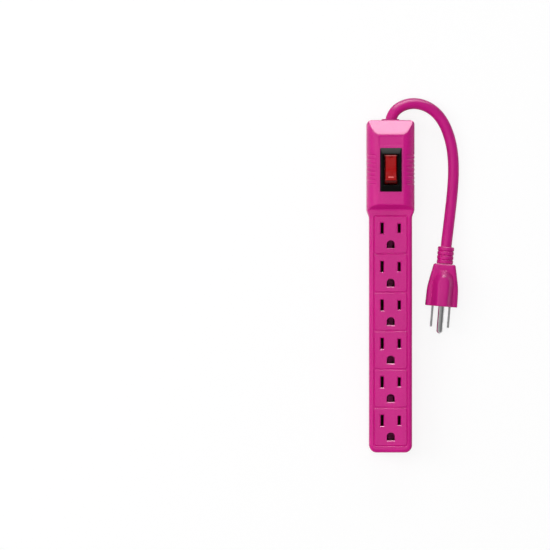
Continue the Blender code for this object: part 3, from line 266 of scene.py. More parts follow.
def combine(target: Object, tools: list[Object], operation: str) -> Object:
    """Cuts the tools from the target, or joins them to it, and keeps the result in the target.

    Args:
        target: The piece that is changed.
        tools: Closed shapes that don't touch each other; they are removed.
        operation: DIFFERENCE or UNION.

    Returns:
        The target.
    """
    for tool in tools:
        modifier = target.modifiers.new(tool.name, "BOOLEAN")
        modifier.operation, modifier.solver, modifier.object = operation, "MANIFOLD", tool
    bpy.context.view_layer.update()
    graph = bpy.context.evaluated_depsgraph_get()
    result = bpy.data.meshes.new_from_object(target.evaluated_get(graph))
    target.modifiers.clear()
    old, target.data = target.data, result
    result.name = target.name
    bpy.data.meshes.remove(old)
    for tool in tools:
        bpy.data.objects.remove(tool)
    return target


def smooth_path(route: Array, step: float) -> Array:
    """Even points on a centripetal Catmull-Rom curve through the route.

    Each span blends its four nearest points, then those blends, and again, with knots spaced by the root of the
    distance between points; the result is then read again at even lengths.

    Args:
        route: Points of shape (n, 3).
        step: Wanted spacing.

    Returns:
        Points of shape (m, 3).
    """
    ends = np.vstack([2 * route[0] - route[1], route, 2 * route[-1] - route[-2]])
    knots = np.concatenate([[0.0], np.cumsum(np.sqrt(np.linalg.norm(np.diff(ends, axis=0), axis=1)))])
    share = np.linspace(0, 1, 40, endpoint=False)
    first = np.arange(len(route) - 1)
    t = knots[first + 1][:, None] + (knots[first + 2] - knots[first + 1])[:, None] * share
    level = [np.repeat(ends[first + i][:, None, :], len(share), axis=1) for i in range(4)]
    for span, starts in ((1, (0, 1, 2)), (2, (0, 1)), (1, (1,))):
        level = [
            level[i]
            + (level[i + 1] - level[i])
            * ((t - knots[first + k][:, None]) / (knots[first + k + span] - knots[first + k])[:, None])[..., None]
            for i, k in enumerate(starts)
        ]
    dense = np.vstack([level[0].reshape(-1, 3), route[-1]])
    length = np.concatenate([[0.0], np.cumsum(np.linalg.norm(np.diff(dense, axis=0), axis=1))])
    even = np.linspace(0, length[-1], max(2, round(length[-1] / step)) + 1)
    return np.column_stack([np.interp(even, length, dense[:, i]) for i in range(3)])


# ---------------------------------------------------------------- finishes


@dataclass
class Shading:
    """A material's node tree, with a short way to add and join nodes."""

    material: Material

    @classmethod
    def named(cls, name: str) -> "Shading":
        """A new node material of this name."""
        material = bpy.data.materials.new(name)
        material.use_nodes = True
        return cls(material)

    @property
    def surface(self) -> Node:
        """The Principled shader."""
        return self.material.node_tree.nodes["Principled BSDF"]

    def add(self, kind: str, inputs: dict[str, object] | None = None, **settings: object) -> Node:
        """Adds a node.

        Args:
            kind: Node type.
            inputs: Value or socket for each named input.
            settings: Properties of the node.

        Returns:
            The node.
        """
        node = self.material.node_tree.nodes.new(kind)
        for key, value in settings.items():
            setattr(node, key, value)
        for key, value in (inputs or {}).items():
            self.join(value, node.inputs[key])
        return node

    def join(self, value: object, socket: NodeSocket) -> None:
        """Links a socket to another, or sets its value."""
        if isinstance(value, NodeSocket):
            self.material.node_tree.links.new(value, socket)
        else:
            socket.default_value = value

    def object_place(self, scale: tuple[float, float, float] = (1, 1, 1)) -> NodeSocket:
        """Object coordinates in metres, stretched by scale."""
        place = self.add("ShaderNodeTexCoord").outputs["Object"]
        return self.add("ShaderNodeMapping", {"Vector": place, "Scale": scale}).outputs["Vector"]

    def noise(self, place: NodeSocket, scale: float, detail: float = 2.0, rough: float = 0.5) -> NodeSocket:
        """A noise value at this many features a metre."""
        inputs = {"Vector": place, "Scale": scale, "Detail": detail, "Roughness": rough}
        return self.add("ShaderNodeTexNoise", inputs).outputs["Fac"]

    def spread(self, value: NodeSocket, low: float, high: float) -> NodeSocket:
        """The middle of a noise value's range carried to low and high."""
        inputs = {"Value": value, "From Min": 0.3, "From Max": 0.7, "To Min": low, "To Max": high}
        return self.add("ShaderNodeMapRange", inputs).outputs["Result"]

    def tint(self, value: NodeSocket, dark: Colour, light: Colour) -> NodeSocket:
        """A colour between two, by a value from 0 to 1."""
        mix = self.add("ShaderNodeMix", data_type="RGBA")
        self.join(value, mix.inputs["Factor"])
        self.join((*dark, 1.0), mix.inputs[6])
        self.join((*light, 1.0), mix.inputs[7])
        return mix.outputs[2]

    def bump(self, height: NodeSocket, depth: float, under: NodeSocket | None = None) -> NodeSocket:
        """A bumped normal, with the height's whole range standing depth metres proud."""
        inputs = {"Height": height, "Distance": depth, "Strength": 1.0}
        if under is not None:
            inputs["Normal"] = under
        return self.add("ShaderNodeBump", inputs).outputs["Normal"]


def shaded(colour: Colour, factor: float) -> Colour:
    """The colour made darker or lighter by a factor."""
    return tuple(min(1.0, channel * factor) for channel in colour)


@dataclass(frozen=True)
class MouldedPlastic:
    """Spark-textured moulded plastic: fine grain in the surface, faint flow marks in the colour and gloss."""

    name: str
    colour: Colour
    roughness: float = 0.42
    specular: float = 0.5
    grain: float = 0.35 * MM
    grain_depth: float = 0.012 * MM
    mottle: float = 0.05

    def material(self) -> Material:
        """Builds the material."""
        found = bpy.data.materials.get(self.name)
        if found:
            return found
        shading = Shading.named(self.name)
        place = shading.object_place()
        flow = shading.noise(shading.object_place((1.0, 0.35, 1.0)), 60.0, 3.0)
        fine = shading.noise(place, 1 / self.grain, 3.0, 0.6)
        colour = shading.tint(
            shading.spread(flow, 0.0, 1.0), shaded(self.colour, 1 - self.mottle), shaded(self.colour, 1 + self.mottle)
        )
        shading.join(colour, shading.surface.inputs["Base Color"])
        gloss = shading.spread(fine, self.roughness - 0.05, self.roughness + 0.05)
        shading.join(gloss, shading.surface.inputs["Roughness"])
        shading.join(shading.bump(fine, self.grain_depth), shading.surface.inputs["Normal"])
        shading.surface.inputs["Specular IOR Level"].default_value = self.specular
        return shading.material


@dataclass(frozen=True)
class VinylSkin:
    """Extruded vinyl: die lines that run along the piece, and soft unevenness in the gloss."""

    name: str
    colour: Colour
    roughness: float = 0.34
    line_depth: float = 0.01 * MM

    def material(self) -> Material:
        """Builds the material; the lines follow the piece's own UV map."""
        shading = Shading.named(self.name)
        uv = shading.add("ShaderNodeUVMap", uv_map="run").outputs["UV"]
        lines = shading.add("ShaderNodeMapping", {"Vector": uv, "Scale": (6.0, 60.0, 1.0)}).outputs["Vector"]
        streak = shading.noise(lines, 1.0, 2.0)
        place = shading.object_place()
        cloud = shading.noise(place, 90.0, 3.0)
        fine = shading.noise(place, 2600.0, 2.0)
        colour = shading.tint(
            shading.spread(cloud, 0.0, 1.0), shaded(self.colour, 0.95), shaded(self.colour, 1.05)
        )
        shading.join(colour, shading.surface.inputs["Base Color"])
        shading.join(
            shading.spread(cloud, self.roughness - 0.04, self.roughness + 0.05), shading.surface.inputs["Roughness"]
        )
        grain = shading.bump(fine, 0.006 * MM)
        shading.join(shading.bump(streak, self.line_depth, grain), shading.surface.inputs["Normal"])
        shading.surface.inputs["Specular IOR Level"].default_value = 0.14
        return shading.material


@dataclass(frozen=True)
class TintedLens:
    """Clear red plastic with moulded ribs on its inside that show as faint bands through the glossy face; painted
    shade darkens its side bevels and both ends, and a painted highlight line runs along the cord end.
    """

    name: str
    colour: Colour
    rib_pitch: float = 1.1 * MM
    # end, the shade share and side give painted shade: the lens colour darkened to a quarter past the raised end's
    # lip and on the side bevels.
    end: float = 78.8 * MM
    painted_shade_share: float = 0.25
    side: float = 3.8 * MM
    # rim and its colour give a painted highlight: a paler red line along the cord end's edge, with painted shade past
    # it.
    rim: float = 96.6 * MM
    painted_highlight_colour: Colour = (0.5, 0.12, 0.12)

    def zone(
        self, shading: Shading, place: NodeSocket, start: float, full: float, under: NodeSocket, colour: Colour
    ) -> NodeSocket:
        """Mixes a colour over another past a place.

        Args:
            shading: The node tree.
            place: The coordinate that decides.
            start: Where the colour starts.
            full: Where it is whole.
            under: The colour before it.
            colour: The colour that takes over.

        Returns:
            The mixed colour.
        """
        share = shading.add("ShaderNodeMapRange", {"Value": place, "From Min": start, "From Max": full})
        mix = shading.add("ShaderNodeMix", data_type="RGBA")
        shading.join(share.outputs["Result"], mix.inputs["Factor"])
        shading.join(under, mix.inputs[6])
        shading.join((*colour, 1.0), mix.inputs[7])
        return mix.outputs[2]

    def material(self) -> Material:
        """Builds the material."""
        shading = Shading.named(self.name)
        place = shading.object_place((1.0, 1.0, 0.0))
        wave = shading.add(
            "ShaderNodeTexWave",
            {"Vector": place, "Scale": 1 / (self.rib_pitch * 2 * math.pi), "Distortion": 0.4, "Detail": 1.0},
            wave_type="BANDS",
            bands_direction="Y",
        ).outputs["Fac"]
        cloud = shading.noise(shading.object_place(), 400.0, 2.0)
        deep = shading.tint(wave, shaded(self.colour, 0.95), shaded(self.colour, 1.04))
        axes = shading.add("ShaderNodeSeparateXYZ", {0: shading.object_place()}).outputs
        across = shading.add("ShaderNodeMath", {0: axes["X"]}, operation="ABSOLUTE").outputs[0]
        # pale holds the painted shade, the lens colour at a quarter; the zones below lay it on the side bevels, past
        # the raised end's lip and past the cord end's edge.
        pale, painted_highlight = shaded(self.colour, self.painted_shade_share), self.painted_highlight_colour
        body = self.zone(shading, across, self.side, self.side + 0.1 * MM, deep, pale)
        body = self.zone(shading, axes["Y"], self.end, self.end - 0.2 * MM, body, pale)
        # A painted highlight line along the cord end's edge, then painted shade past it.
        body = self.zone(shading, axes["Y"], self.rim, self.rim + 0.1 * MM, body, painted_highlight)
        body = self.zone(shading, axes["Y"], self.rim + 0.6 * MM, self.rim + 0.7 * MM, body, pale)
        shading.join(body, shading.surface.inputs["Base Color"])
        shading.join(shading.spread(cloud, 0.12, 0.2), shading.surface.inputs["Roughness"])
        shading.join(shading.bump(cloud, 0.004 * MM), shading.surface.inputs["Normal"])
        surface = shading.surface.inputs
        surface["Transmission Weight"].default_value = 0.05
        surface["Coat Weight"].default_value = 0.06
        surface["Coat Roughness"].default_value = 0.06
        surface["Specular IOR Level"].default_value = 0.14
        return shading.material


@dataclass(frozen=True)
class StampedMetal:
    """Rolled and stamped metal: fine lines along the sheet, small stains and uneven gloss."""

    name: str
    colour: Colour
    roughness: float = 0.3
    along: tuple[float, float, float] = (1.0, 0.04, 1.0)
    line_depth: float = 0.004 * MM

    def material(self) -> Material:
        """Builds the material."""
        shading = Shading.named(self.name)
        lines = shading.noise(shading.object_place(self.along), 4200.0, 3.0)
        stain = shading.noise(shading.object_place(), 240.0, 4.0, 0.6)
        colour = shading.tint(
            shading.spread(stain, 0.0, 1.0), shaded(self.colour, 0.86), shaded(self.colour, 1.04)
        )
        shading.join(colour, shading.surface.inputs["Base Color"])
        shading.join(
            shading.spread(stain, self.roughness + 0.07, self.roughness - 0.05), shading.surface.inputs["Roughness"]
        )
        shading.join(shading.bump(lines, self.line_depth), shading.surface.inputs["Normal"])
        shading.surface.inputs["Metallic"].default_value = 1.0
        return shading.material


@dataclass(frozen=True)
class LampGlass:
    """The neon lamp's drawn glass with a warm gas tint."""

    name: str
    colour: Colour

    def material(self) -> Material:
        """Builds the material."""
        shading = Shading.named(self.name)
        wavy = shading.noise(shading.object_place(), 500.0, 2.0)
        colour = shading.tint(shading.spread(wavy, 0.0, 1.0), shaded(self.colour, 0.9), self.colour)
        shading.join(colour, shading.surface.inputs["Base Color"])
        shading.join(shading.spread(wavy, 0.02, 0.08), shading.surface.inputs["Roughness"])
        shading.join(shading.bump(wavy, 0.01 * MM), shading.surface.inputs["Normal"])
        shading.surface.inputs["Transmission Weight"].default_value = 0.85
        return shading.material


CASE_PLASTIC = MouldedPlastic("magenta_case_plastic", (0.51, 0.005, 0.196), 0.29, 0.26, grain_depth=0.02 * MM)
TRAY_PLASTIC = MouldedPlastic("magenta_tray_plastic", (0.51, 0.005, 0.196), 0.38, 0.26)
PLUG_VINYL = MouldedPlastic(
    "magenta_plug_vinyl", (0.475, 0.007, 0.186), 0.4, 0.18, grain=0.5 * MM, grain_depth=0.008 * MM
)
CORD_VINYL = VinylSkin("magenta_cord_vinyl", (0.47, 0.007, 0.186))
BEZEL_PLASTIC = MouldedPlastic("black_bezel_plastic", (0.003, 0.003, 0.003), 0.5, specular=0.055)
INNER_PLASTIC = MouldedPlastic("black_base_plastic", (0.02, 0.02, 0.021), 0.55)
RED_LENS = TintedLens("red_rocker_lens", (0.33, 0.002, 0.003))
MARK_PAINT = MouldedPlastic("pale_mark_paint", (0.70, 0.105, 0.105), 0.5, 0.1, grain_depth=0.004 * MM)
BLADE_NICKEL = StampedMetal("nickel_plated_blades", (0.86, 0.86, 0.865), 0.2, (1.0, 0.05, 1.0), 0.0012 * MM)
# The contacts' brass is painted far darker than bright brass, as painted shade, so the slots read dark from above.
SHADE_DARKENED_BRASS = StampedMetal("spring_brass_shade_darkened", (0.16, 0.11, 0.05), 0.5)
SCREW_ZINC = StampedMetal("zinc_plated_steel", (0.55, 0.56, 0.58), 0.34, (1.0, 1.0, 0.1))
NEON_GLASS = LampGlass("neon_lamp_glass", (0.95, 0.72, 0.55))
RESISTOR_PAINT = MouldedPlastic("resistor_paint", (0.55, 0.42, 0.24), 0.35, grain_depth=0.003 * MM)
BLACK_WIRE = MouldedPlastic("black_wire_vinyl", (0.012, 0.012, 0.012), 0.38)
WHITE_WIRE = MouldedPlastic("white_wire_vinyl", (0.72, 0.72, 0.69), 0.38)
GREEN_WIRE = MouldedPlastic("green_wire_vinyl", (0.015, 0.24, 0.06), 0.38)

Finish = MouldedPlastic | VinylSkin | TintedLens | StampedMetal | LampGlass


def dress(
    piece: Object, finish: Finish, replaces: list[str], body: Body = Body.STRIP, sharp: float = 32.0
) -> Object:
    """Gives a new piece its finish, its smooth faces, its body and the CAD nodes that it stands for.

    Args:
        piece: The new piece.
        finish: Its finish.
        replaces: The CAD nodes that it replaces.
        body: The body that it rides.
        sharp: Edges over this many degrees stay sharp.

    Returns:
        The piece.
    """
    piece.data.materials.clear()
    piece.data.materials.append(finish.material())
    piece.data.shade_smooth()
    piece.data.set_sharp_from_angle(angle=math.radians(sharp))
    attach(piece, body.value)
    if replaces:
        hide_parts(*replaces)
    LOG.info("%s: %d faces", piece.name, len(piece.data.polygons))
    return piece


def mount(name: str) -> Array:
    """A mount's point in millimetres."""
    found = next(m for m in frame["record"]["mounts"] if m["name"] == name)
    return np.array(found["pos_m"]) / MM


def node_box(name: str) -> tuple[Array, Array]:
    """A CAD node's lowest and highest corners in millimetres."""
    low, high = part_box(name)
    return np.array(low) / MM, np.array(high) / MM


# ---------------------------------------------------------------- the case


@dataclass
class CaseShape:
    """The case's outline and heights, shared by its two covers."""

    end: float = field(default_factory=lambda: float(node_box("bottom_cover")[1][1]))
    head_half: float = field(default_factory=lambda: float(node_box("bottom_cover")[1][0]))
    head_height: float = field(default_factory=lambda: float(node_box("top_cover")[1][2]))
    body_height: float = field(default_factory=lambda: float(mount("outlet_1_face")[2]))
    body_half: float = 15.9
    head_length: float = 66.2
    ramp_run: float = 3.3
    neck_run: float = 6.7
    seam: float = 12.5
    wall: float = 2.4
    head_corner: float = 3.5
    foot_corner: float = 5.5
    body_edge: float = 2.5
    cord_hole: float = 6.9

    @property
    def ramp_foot(self) -> float:
        """Where the head's ramp meets the outlet face."""
        return self.end - self.head_length

    def headness(self, y: Array) -> Array:
        """1 on the head, 0 on the body."""
        return ease_in(y, self.ramp_foot - self.neck_run, self.ramp_foot)

    def half_width(self, y: Array, inset: float = 0.0) -> Array:
        """Half the width at y: the head's or the body's, less what the rounded ends take.

        Args:
            y: Places along the case.
            inset: How far the outline is taken in.

        Returns:
            The half width at each place.
        """
        wide = self.body_half + (self.head_half - self.body_half) * self.headness(y) - inset
        foot = corner_loss(y + self.end - inset, max(self.foot_corner - inset, 0.3))
        head = corner_loss(self.end - inset - y, max(self.head_corner - inset, 0.3))
        return wide - foot - head

    def end_lines(self, radius: float, steps: int) -> Array:
        """Distances in from a rounded end at even turns of its arc."""
        return radius * (1 - np.cos(np.linspace(0, math.pi / 2, steps)))

    def outline_lines(self) -> Array:
        """The places along Y that the plan outline needs."""
        foot = -self.end + self.end_lines(self.foot_corner, 12)
        head = self.end - self.end_lines(self.head_corner, 9)
        neck = np.linspace(self.ramp_foot - self.neck_run, self.ramp_foot, 14)
        return merged_lines(foot, neck, head)

    def plan(self, inset: float) -> Array:
        """The outline seen from above as one closed loop, taken in by inset."""
        y = self.outline_lines() * (self.end - inset) / self.end
        x = self.half_width(y, inset)
        return np.vstack([np.column_stack([x, y]), np.column_stack([-x, y])[::-1]])

    def cord_bore(self, name: str) -> Object:
        """A cylinder through the end wall for the cord's bush."""
        angle = np.linspace(0, 2 * math.pi, 64, endpoint=False)
        x, z = self.cord_hole * np.cos(angle), self.seam + self.cord_hole * np.sin(angle)
        rings = [np.column_stack([x, np.full(64, y), z]) for y in (self.end - 8.0, self.end + 3.0)]
        return loft(name, np.stack(rings))


@dataclass
class TopCover:
    """The upper shell: a raised head with a ramp, a slope and finger grips, and the outlet face with its pads."""

    case: CaseShape
    slots: Array = field(default_factory=lambda: np.array([mount(f"outlet_{i}_face")[1] for i in range(1, 7)]))
    switch_y: float = field(default_factory=lambda: frame["joints"][0]["pos_m"][1] / MM)
    flat_half: float = 9.35
    crease: float = math.radians(10)
    slope_run: float = 11.2
    slope_drop: float = 5.9
    pad: tuple[float, float] = (23.4, 26.9)
    pad_ahead: float = 8.6
    pad_corner: float = 1.0
    groove: float = 1.2
    groove_depth: float = 0.5
    slot_x: float = 6.35
    neutral_slot: tuple[float, float] = (2.3, 8.2)
    line_slot: tuple[float, float] = (2.2, 6.7)
    ground_drop: float = 11.9
    ground_hole: float = 5.7
    chamfer: float = 0.7
    grip_first: float = 97.4
    grip_pitch: float = 3.06
    grips: int = 8
    grip_inner: float = 11.2
    grip_depth: float = 0.45
    grip_width: float = 1.7
    recess: tuple[float, float, float] = (8.8, 104.4, 111.3)
    recess_depth: float = 0.2
    window: tuple[float, float] = (7.55, 12.9)

    @property
    def pads(self) -> Array:
        """The pads' middles along Y."""
        return self.slots + self.pad_ahead - self.pad[1] / 2

    @property
    def grip_lines(self) -> Array:
        """The finger grips' middles along Y."""
        return self.grip_first - self.grip_pitch * np.arange(self.grips)

    def row_lines(self) -> Array:
        """Places along Y, close together where the surface turns."""
        case = self.case
        near_edge = np.array([-1.65, -1.4, -1.2, -0.95, -0.6, -0.25, 0.0, 0.3, 0.7, 1.15, 1.6])
        edges = np.concatenate([self.pads + side * self.pad[1] / 2 for side in (-1, 1)])
        sides = np.repeat((1, -1), len(self.pads))
        ramp = case.ramp_foot + np.linspace(-2.2, case.ramp_run + 2.0, 26)
        slope = np.linspace(case.end - self.slope_run - 1.2, case.end - 0.7, 48)
        grips = (self.grip_lines[:, None] + self.grip_width * np.linspace(-0.5, 0.5, 9)[None, :]).ravel()
        recess = np.concatenate([y + np.linspace(-0.35, 0.35, 5) for y in self.recess[1:]])
        return merged_lines(
            -case.end + case.end_lines(case.foot_corner, 14),
            -case.end + case.end_lines(case.body_edge, 8),
            case.end - case.end_lines(case.head_corner, 10),
            case.end - case.end_lines(0.7, 5),
            np.linspace(case.ramp_foot - case.neck_run, case.ramp_foot, 18),
            (edges[:, None] + sides[:, None] * near_edge[None, :]).ravel(),
            ramp,
            slope,
            grips,
            recess,
        )

    def column_lines(self) -> Array:
        """Places across the flat top, from the inner end of one edge round to the other's."""
        edge = self.pad[0] / 2 + np.array([-1.6, -1.15, -0.7, -0.3, 0.0, 0.25, 0.6, 0.95, 1.2, 1.45])
        half = merged_lines(
            np.linspace(0, 8.2, 9),
            self.recess[0] + np.linspace(-0.35, 0.35, 5),
            self.flat_half + np.array([-0.15, 0.0, 0.15, 0.5]),
            edge,
        )
        return np.concatenate([-half[::-1], half[1:]])

    def height_limit(self, y: Array) -> Array:
        """What the ramp leaves: the outlet face, then a straight climb past the head, with a round foot."""
        case = self.case
        climb = case.body_height + (case.head_height - case.body_height) * (y - case.ramp_foot) / case.ramp_run
        return smooth_max(case.body_height, climb, 0.9)

    def slope_limit(self, y: Array) -> Array:
        """The plane that falls to the cord end, with its outer edge rounded."""
        case = self.case
        fall = self.slope_drop / self.slope_run
        return case.head_height - fall * (y - case.end + self.slope_run) - corner_loss(case.end - y, 0.6)

    def surface(self, rows: Array, columns: Array, plain: bool = False) -> Array:
        """The outside as rings across the case, each from one lower corner over the top to the other.

        The head's half section is a flat top, a crease and an arc down to the flank; the body's is a flat top and a
        quarter-round edge. Both are read at the same columns and blended by headness. The ramp and the slope then
        limit the height, each with a rounded meeting line.

        Args:
            rows: Places along Y.
            columns: Places across the flat top.
            plain: Leaves out grooves, grips and the recess.

        Returns:
            Points of shape (rows, points, 3).
        """
        case = self.case
        y = rows[:, None]
        share = case.headness(y)
        wide = case.half_width(y)
        inner = columns[-1]
        radius = (case.head_half - self.flat_half) / (1 - math.sin(self.crease))
        centre_x = case.head_half - radius
        centre_z = case.head_height - radius * math.cos(self.crease)
        squeeze = np.minimum(1.0, (case.half_width(y) - case.body_edge) / inner)
        x_top = columns[None, :] * squeeze
        across = np.maximum(np.abs(x_top) - centre_x, 0.0)
        arc = centre_z + np.sqrt(radius**2 - across**2)
        head_top = np.where(np.abs(x_top) <= self.flat_half, case.head_height, arc)
        t = np.linspace(0, 1, 13)[None, :]
        first = math.asin((inner - centre_x) / radius)
        turn = first + (math.pi / 2 - first) * t
        edge_wide = np.minimum(wide, case.body_half)
        body_x = edge_wide - case.body_edge + case.body_edge * np.sin(t * math.pi / 2)
        side_x = body_x + (centre_x + radius * np.sin(turn) - body_x) * share
        side_head = centre_z + radius * np.cos(turn)
        half = (case.body_half, case.end)
        top_body = case.body_height - corner_loss(-plate_distance(x_top, y, half, case.foot_corner), case.body_edge)
        side_body = case.body_height - case.body_edge * (1 - np.cos(t * math.pi / 2))
        side_body = np.minimum(
            side_body,
            case.body_height - corner_loss(-plate_distance(body_x, y, half, case.foot_corner), case.body_edge),
        )
        z_top = top_body + (head_top - top_body) * share
        z_side = side_body + (side_head - side_body) * share
        limit, slope = self.height_limit(y), self.slope_limit(y)
        z_top = smooth_min(smooth_min(z_top, limit, 0.5 * share), slope, 0.3 * share)
        z_side = smooth_min(smooth_min(z_side, limit, 0.5 * share), slope, 0.3 * share)
        side_x = np.minimum(side_x, wide)
        foot_z = z_side[:, -1:]
        rise = np.array([0.97, 0.9, 0.8, 0.68, 0.52, 0.34, 0.12, 0.035, 0.0])[None, :]
        wall_z = case.seam + (foot_z - case.seam) * rise
        wall_x = side_x[:, -1:] - np.where(rise == 0, 0.3, 0.0)
        if not plain:
            z_top = z_top - self.details(x_top, y)
            pinch = self.grip(y) * ease_in(side_x, self.grip_inner, self.grip_inner + 0.9)
            side_x = side_x - pinch * np.sin(turn)
            z_side = z_side - pinch * np.cos(turn)
            wall_x = wall_x - self.grip(y) * ease_in(wall_z, case.seam + 2.0, case.seam + 4.5)
        right_x = np.hstack([wall_x[:, ::-1], side_x[:, ::-1]])
        right_z = np.hstack([wall_z[:, ::-1], z_side[:, ::-1]])
        x = np.hstack([right_x, x_top[:, ::-1][:, 1:-1], -right_x[:, ::-1]])
        z = np.hstack([right_z, z_top[:, ::-1][:, 1:-1], right_z[:, ::-1]])
        return np.stack([x, np.broadcast_to(y, x.shape), z], axis=-1)

    def grip(self, y: Array) -> Array:
        """How deep the finger grips are at y: a rounded V about each line."""
        away = np.abs(y[..., None] - self.grip_lines) / (self.grip_width / 2)
        return self.grip_depth * np.max(1 - ease_in(away, 0.0, 1.0), axis=-1)

    def details(self, x: Array, y: Array) -> Array:
        """How deep the pad grooves, the bare recess and the grips' inner ends are, over the flat top.

        Args:
            x: Places across.
            y: Places along.

        Returns:
            The depth at each place.
        """
        half_pad = (self.pad[0] / 2, self.pad[1] / 2)
        middle = (self.pads[0] + self.pads[-1]) / 2
        reach = (self.pads[0] - self.pads[-1]) / 2 + half_pad[1] + self.groove
        outer = plate_distance(x, y - middle, (half_pad[0] + self.groove, reach), self.pad_corner + self.groove)
        pads = np.min([plate_distance(x, y - pad, half_pad, self.pad_corner) for pad in self.pads], axis=0)
        groove = self.groove_depth * ease_in(np.minimum(pads, -outer), 0.0, 0.5)
        half_x, low, high = self.recess
        bare = plate_distance(x, y - (low + high) / 2, (half_x, (high - low) / 2), 0.6)
        recess = self.recess_depth * ease_in(-bare, -0.3, 0.3)
        grip = self.grip(y) * ease_in(np.abs(x), self.grip_inner, self.grip_inner + 0.9)
        return groove + recess + grip

    def flared(self, name: str, outline: Array, wider: Array) -> Object:
        """A hole's shape: straight up through the wall, then flared to the wider outline at the face.

        Args:
            name: Object name.
            outline: The hole's outline.
            wider: Its outline at the face, point for point.

        Returns:
            The closed shape.
        """
        top = self.case.body_height
        levels = [(outline, top - 2 * self.case.wall), (outline, top - self.chamfer), (wider, top), (wider, top + 2)]
        return loft(name, np.stack([np.column_stack([loop, np.full(len(loop), z)]) for loop, z in levels]))

    def ground_outline(self, grow: float, drop: float) -> Array:
        """The D of a ground hole, round towards the cord end and flat at the foot: grown, with its flat lowered."""
        radius = self.ground_hole / 2 + grow
        angle = np.linspace(0, math.pi, 25)
        arc = np.column_stack([np.cos(angle), np.sin(angle)]) * radius
        foot = np.array([(-radius, -radius - drop), (radius, -radius - drop)])
        return np.vstack([arc, foot])

    def outlet_holes(self) -> list[Object]:
        """The cutters of every slot and ground hole."""
        cutters = []
        for number, row in enumerate(self.slots, 1):
            for side, (wide, long) in ((-1, self.neutral_slot), (1, self.line_slot)):
                shift = np.array([side * self.slot_x, row])
                narrow = rounded_outline((wide / 2, long / 2), 0.15, 2) + shift
                flare = (wide / 2 + self.chamfer, long / 2 + self.chamfer)
                wider = rounded_outline(flare, 0.15, 2) + shift
                cutters.append(self.flared(f"slot_{number}_{side}", narrow, wider))
            shift = np.array([0.0, row - self.ground_drop])
            hole = self.ground_outline(0.0, 0.0) + shift
            mouth = self.ground_outline(self.chamfer / 4, self.chamfer) + shift
            cutters.append(self.flared(f"ground_{number}", hole, mouth))
        return cutters

    def hollow(self) -> Object:
        """The room inside: the plain outside taken in by the wall."""
        case = self.case
        rows = case.outline_lines()
        rows = merged_lines(rows, case.ramp_foot + np.linspace(0, 4, 6), np.linspace(case.end - 12, case.end, 6))
        points = self.surface(rows, np.linspace(-1, 1, 9) * self.column_lines()[-1], plain=True)
        shrink = (self.case.half_width(rows) - case.wall) / self.case.half_width(rows)
        points[..., 0] *= shrink[:, None]
        points[..., 1] *= (case.end - case.wall) / case.end
        points[..., 2] -= case.wall
        return loft("top_hollow", points)

    def build(self) -> Object:
        """The finished cover."""
        cover = loft("top_cover_shell", self.surface(self.row_lines(), self.column_lines()))
        x, y = self.window
        low, high = (-x, self.switch_y - y, 20.0), (x, self.switch_y + y, 40.0)
        window = loft("window", box_rings(low, high))
        combine(cover, [self.hollow()], "DIFFERENCE")
        combine(cover, [window, self.case.cord_bore("top_bore"), *self.outlet_holes()], "DIFFERENCE")
        return dress(cover, CASE_PLASTIC, ["top_cover"])


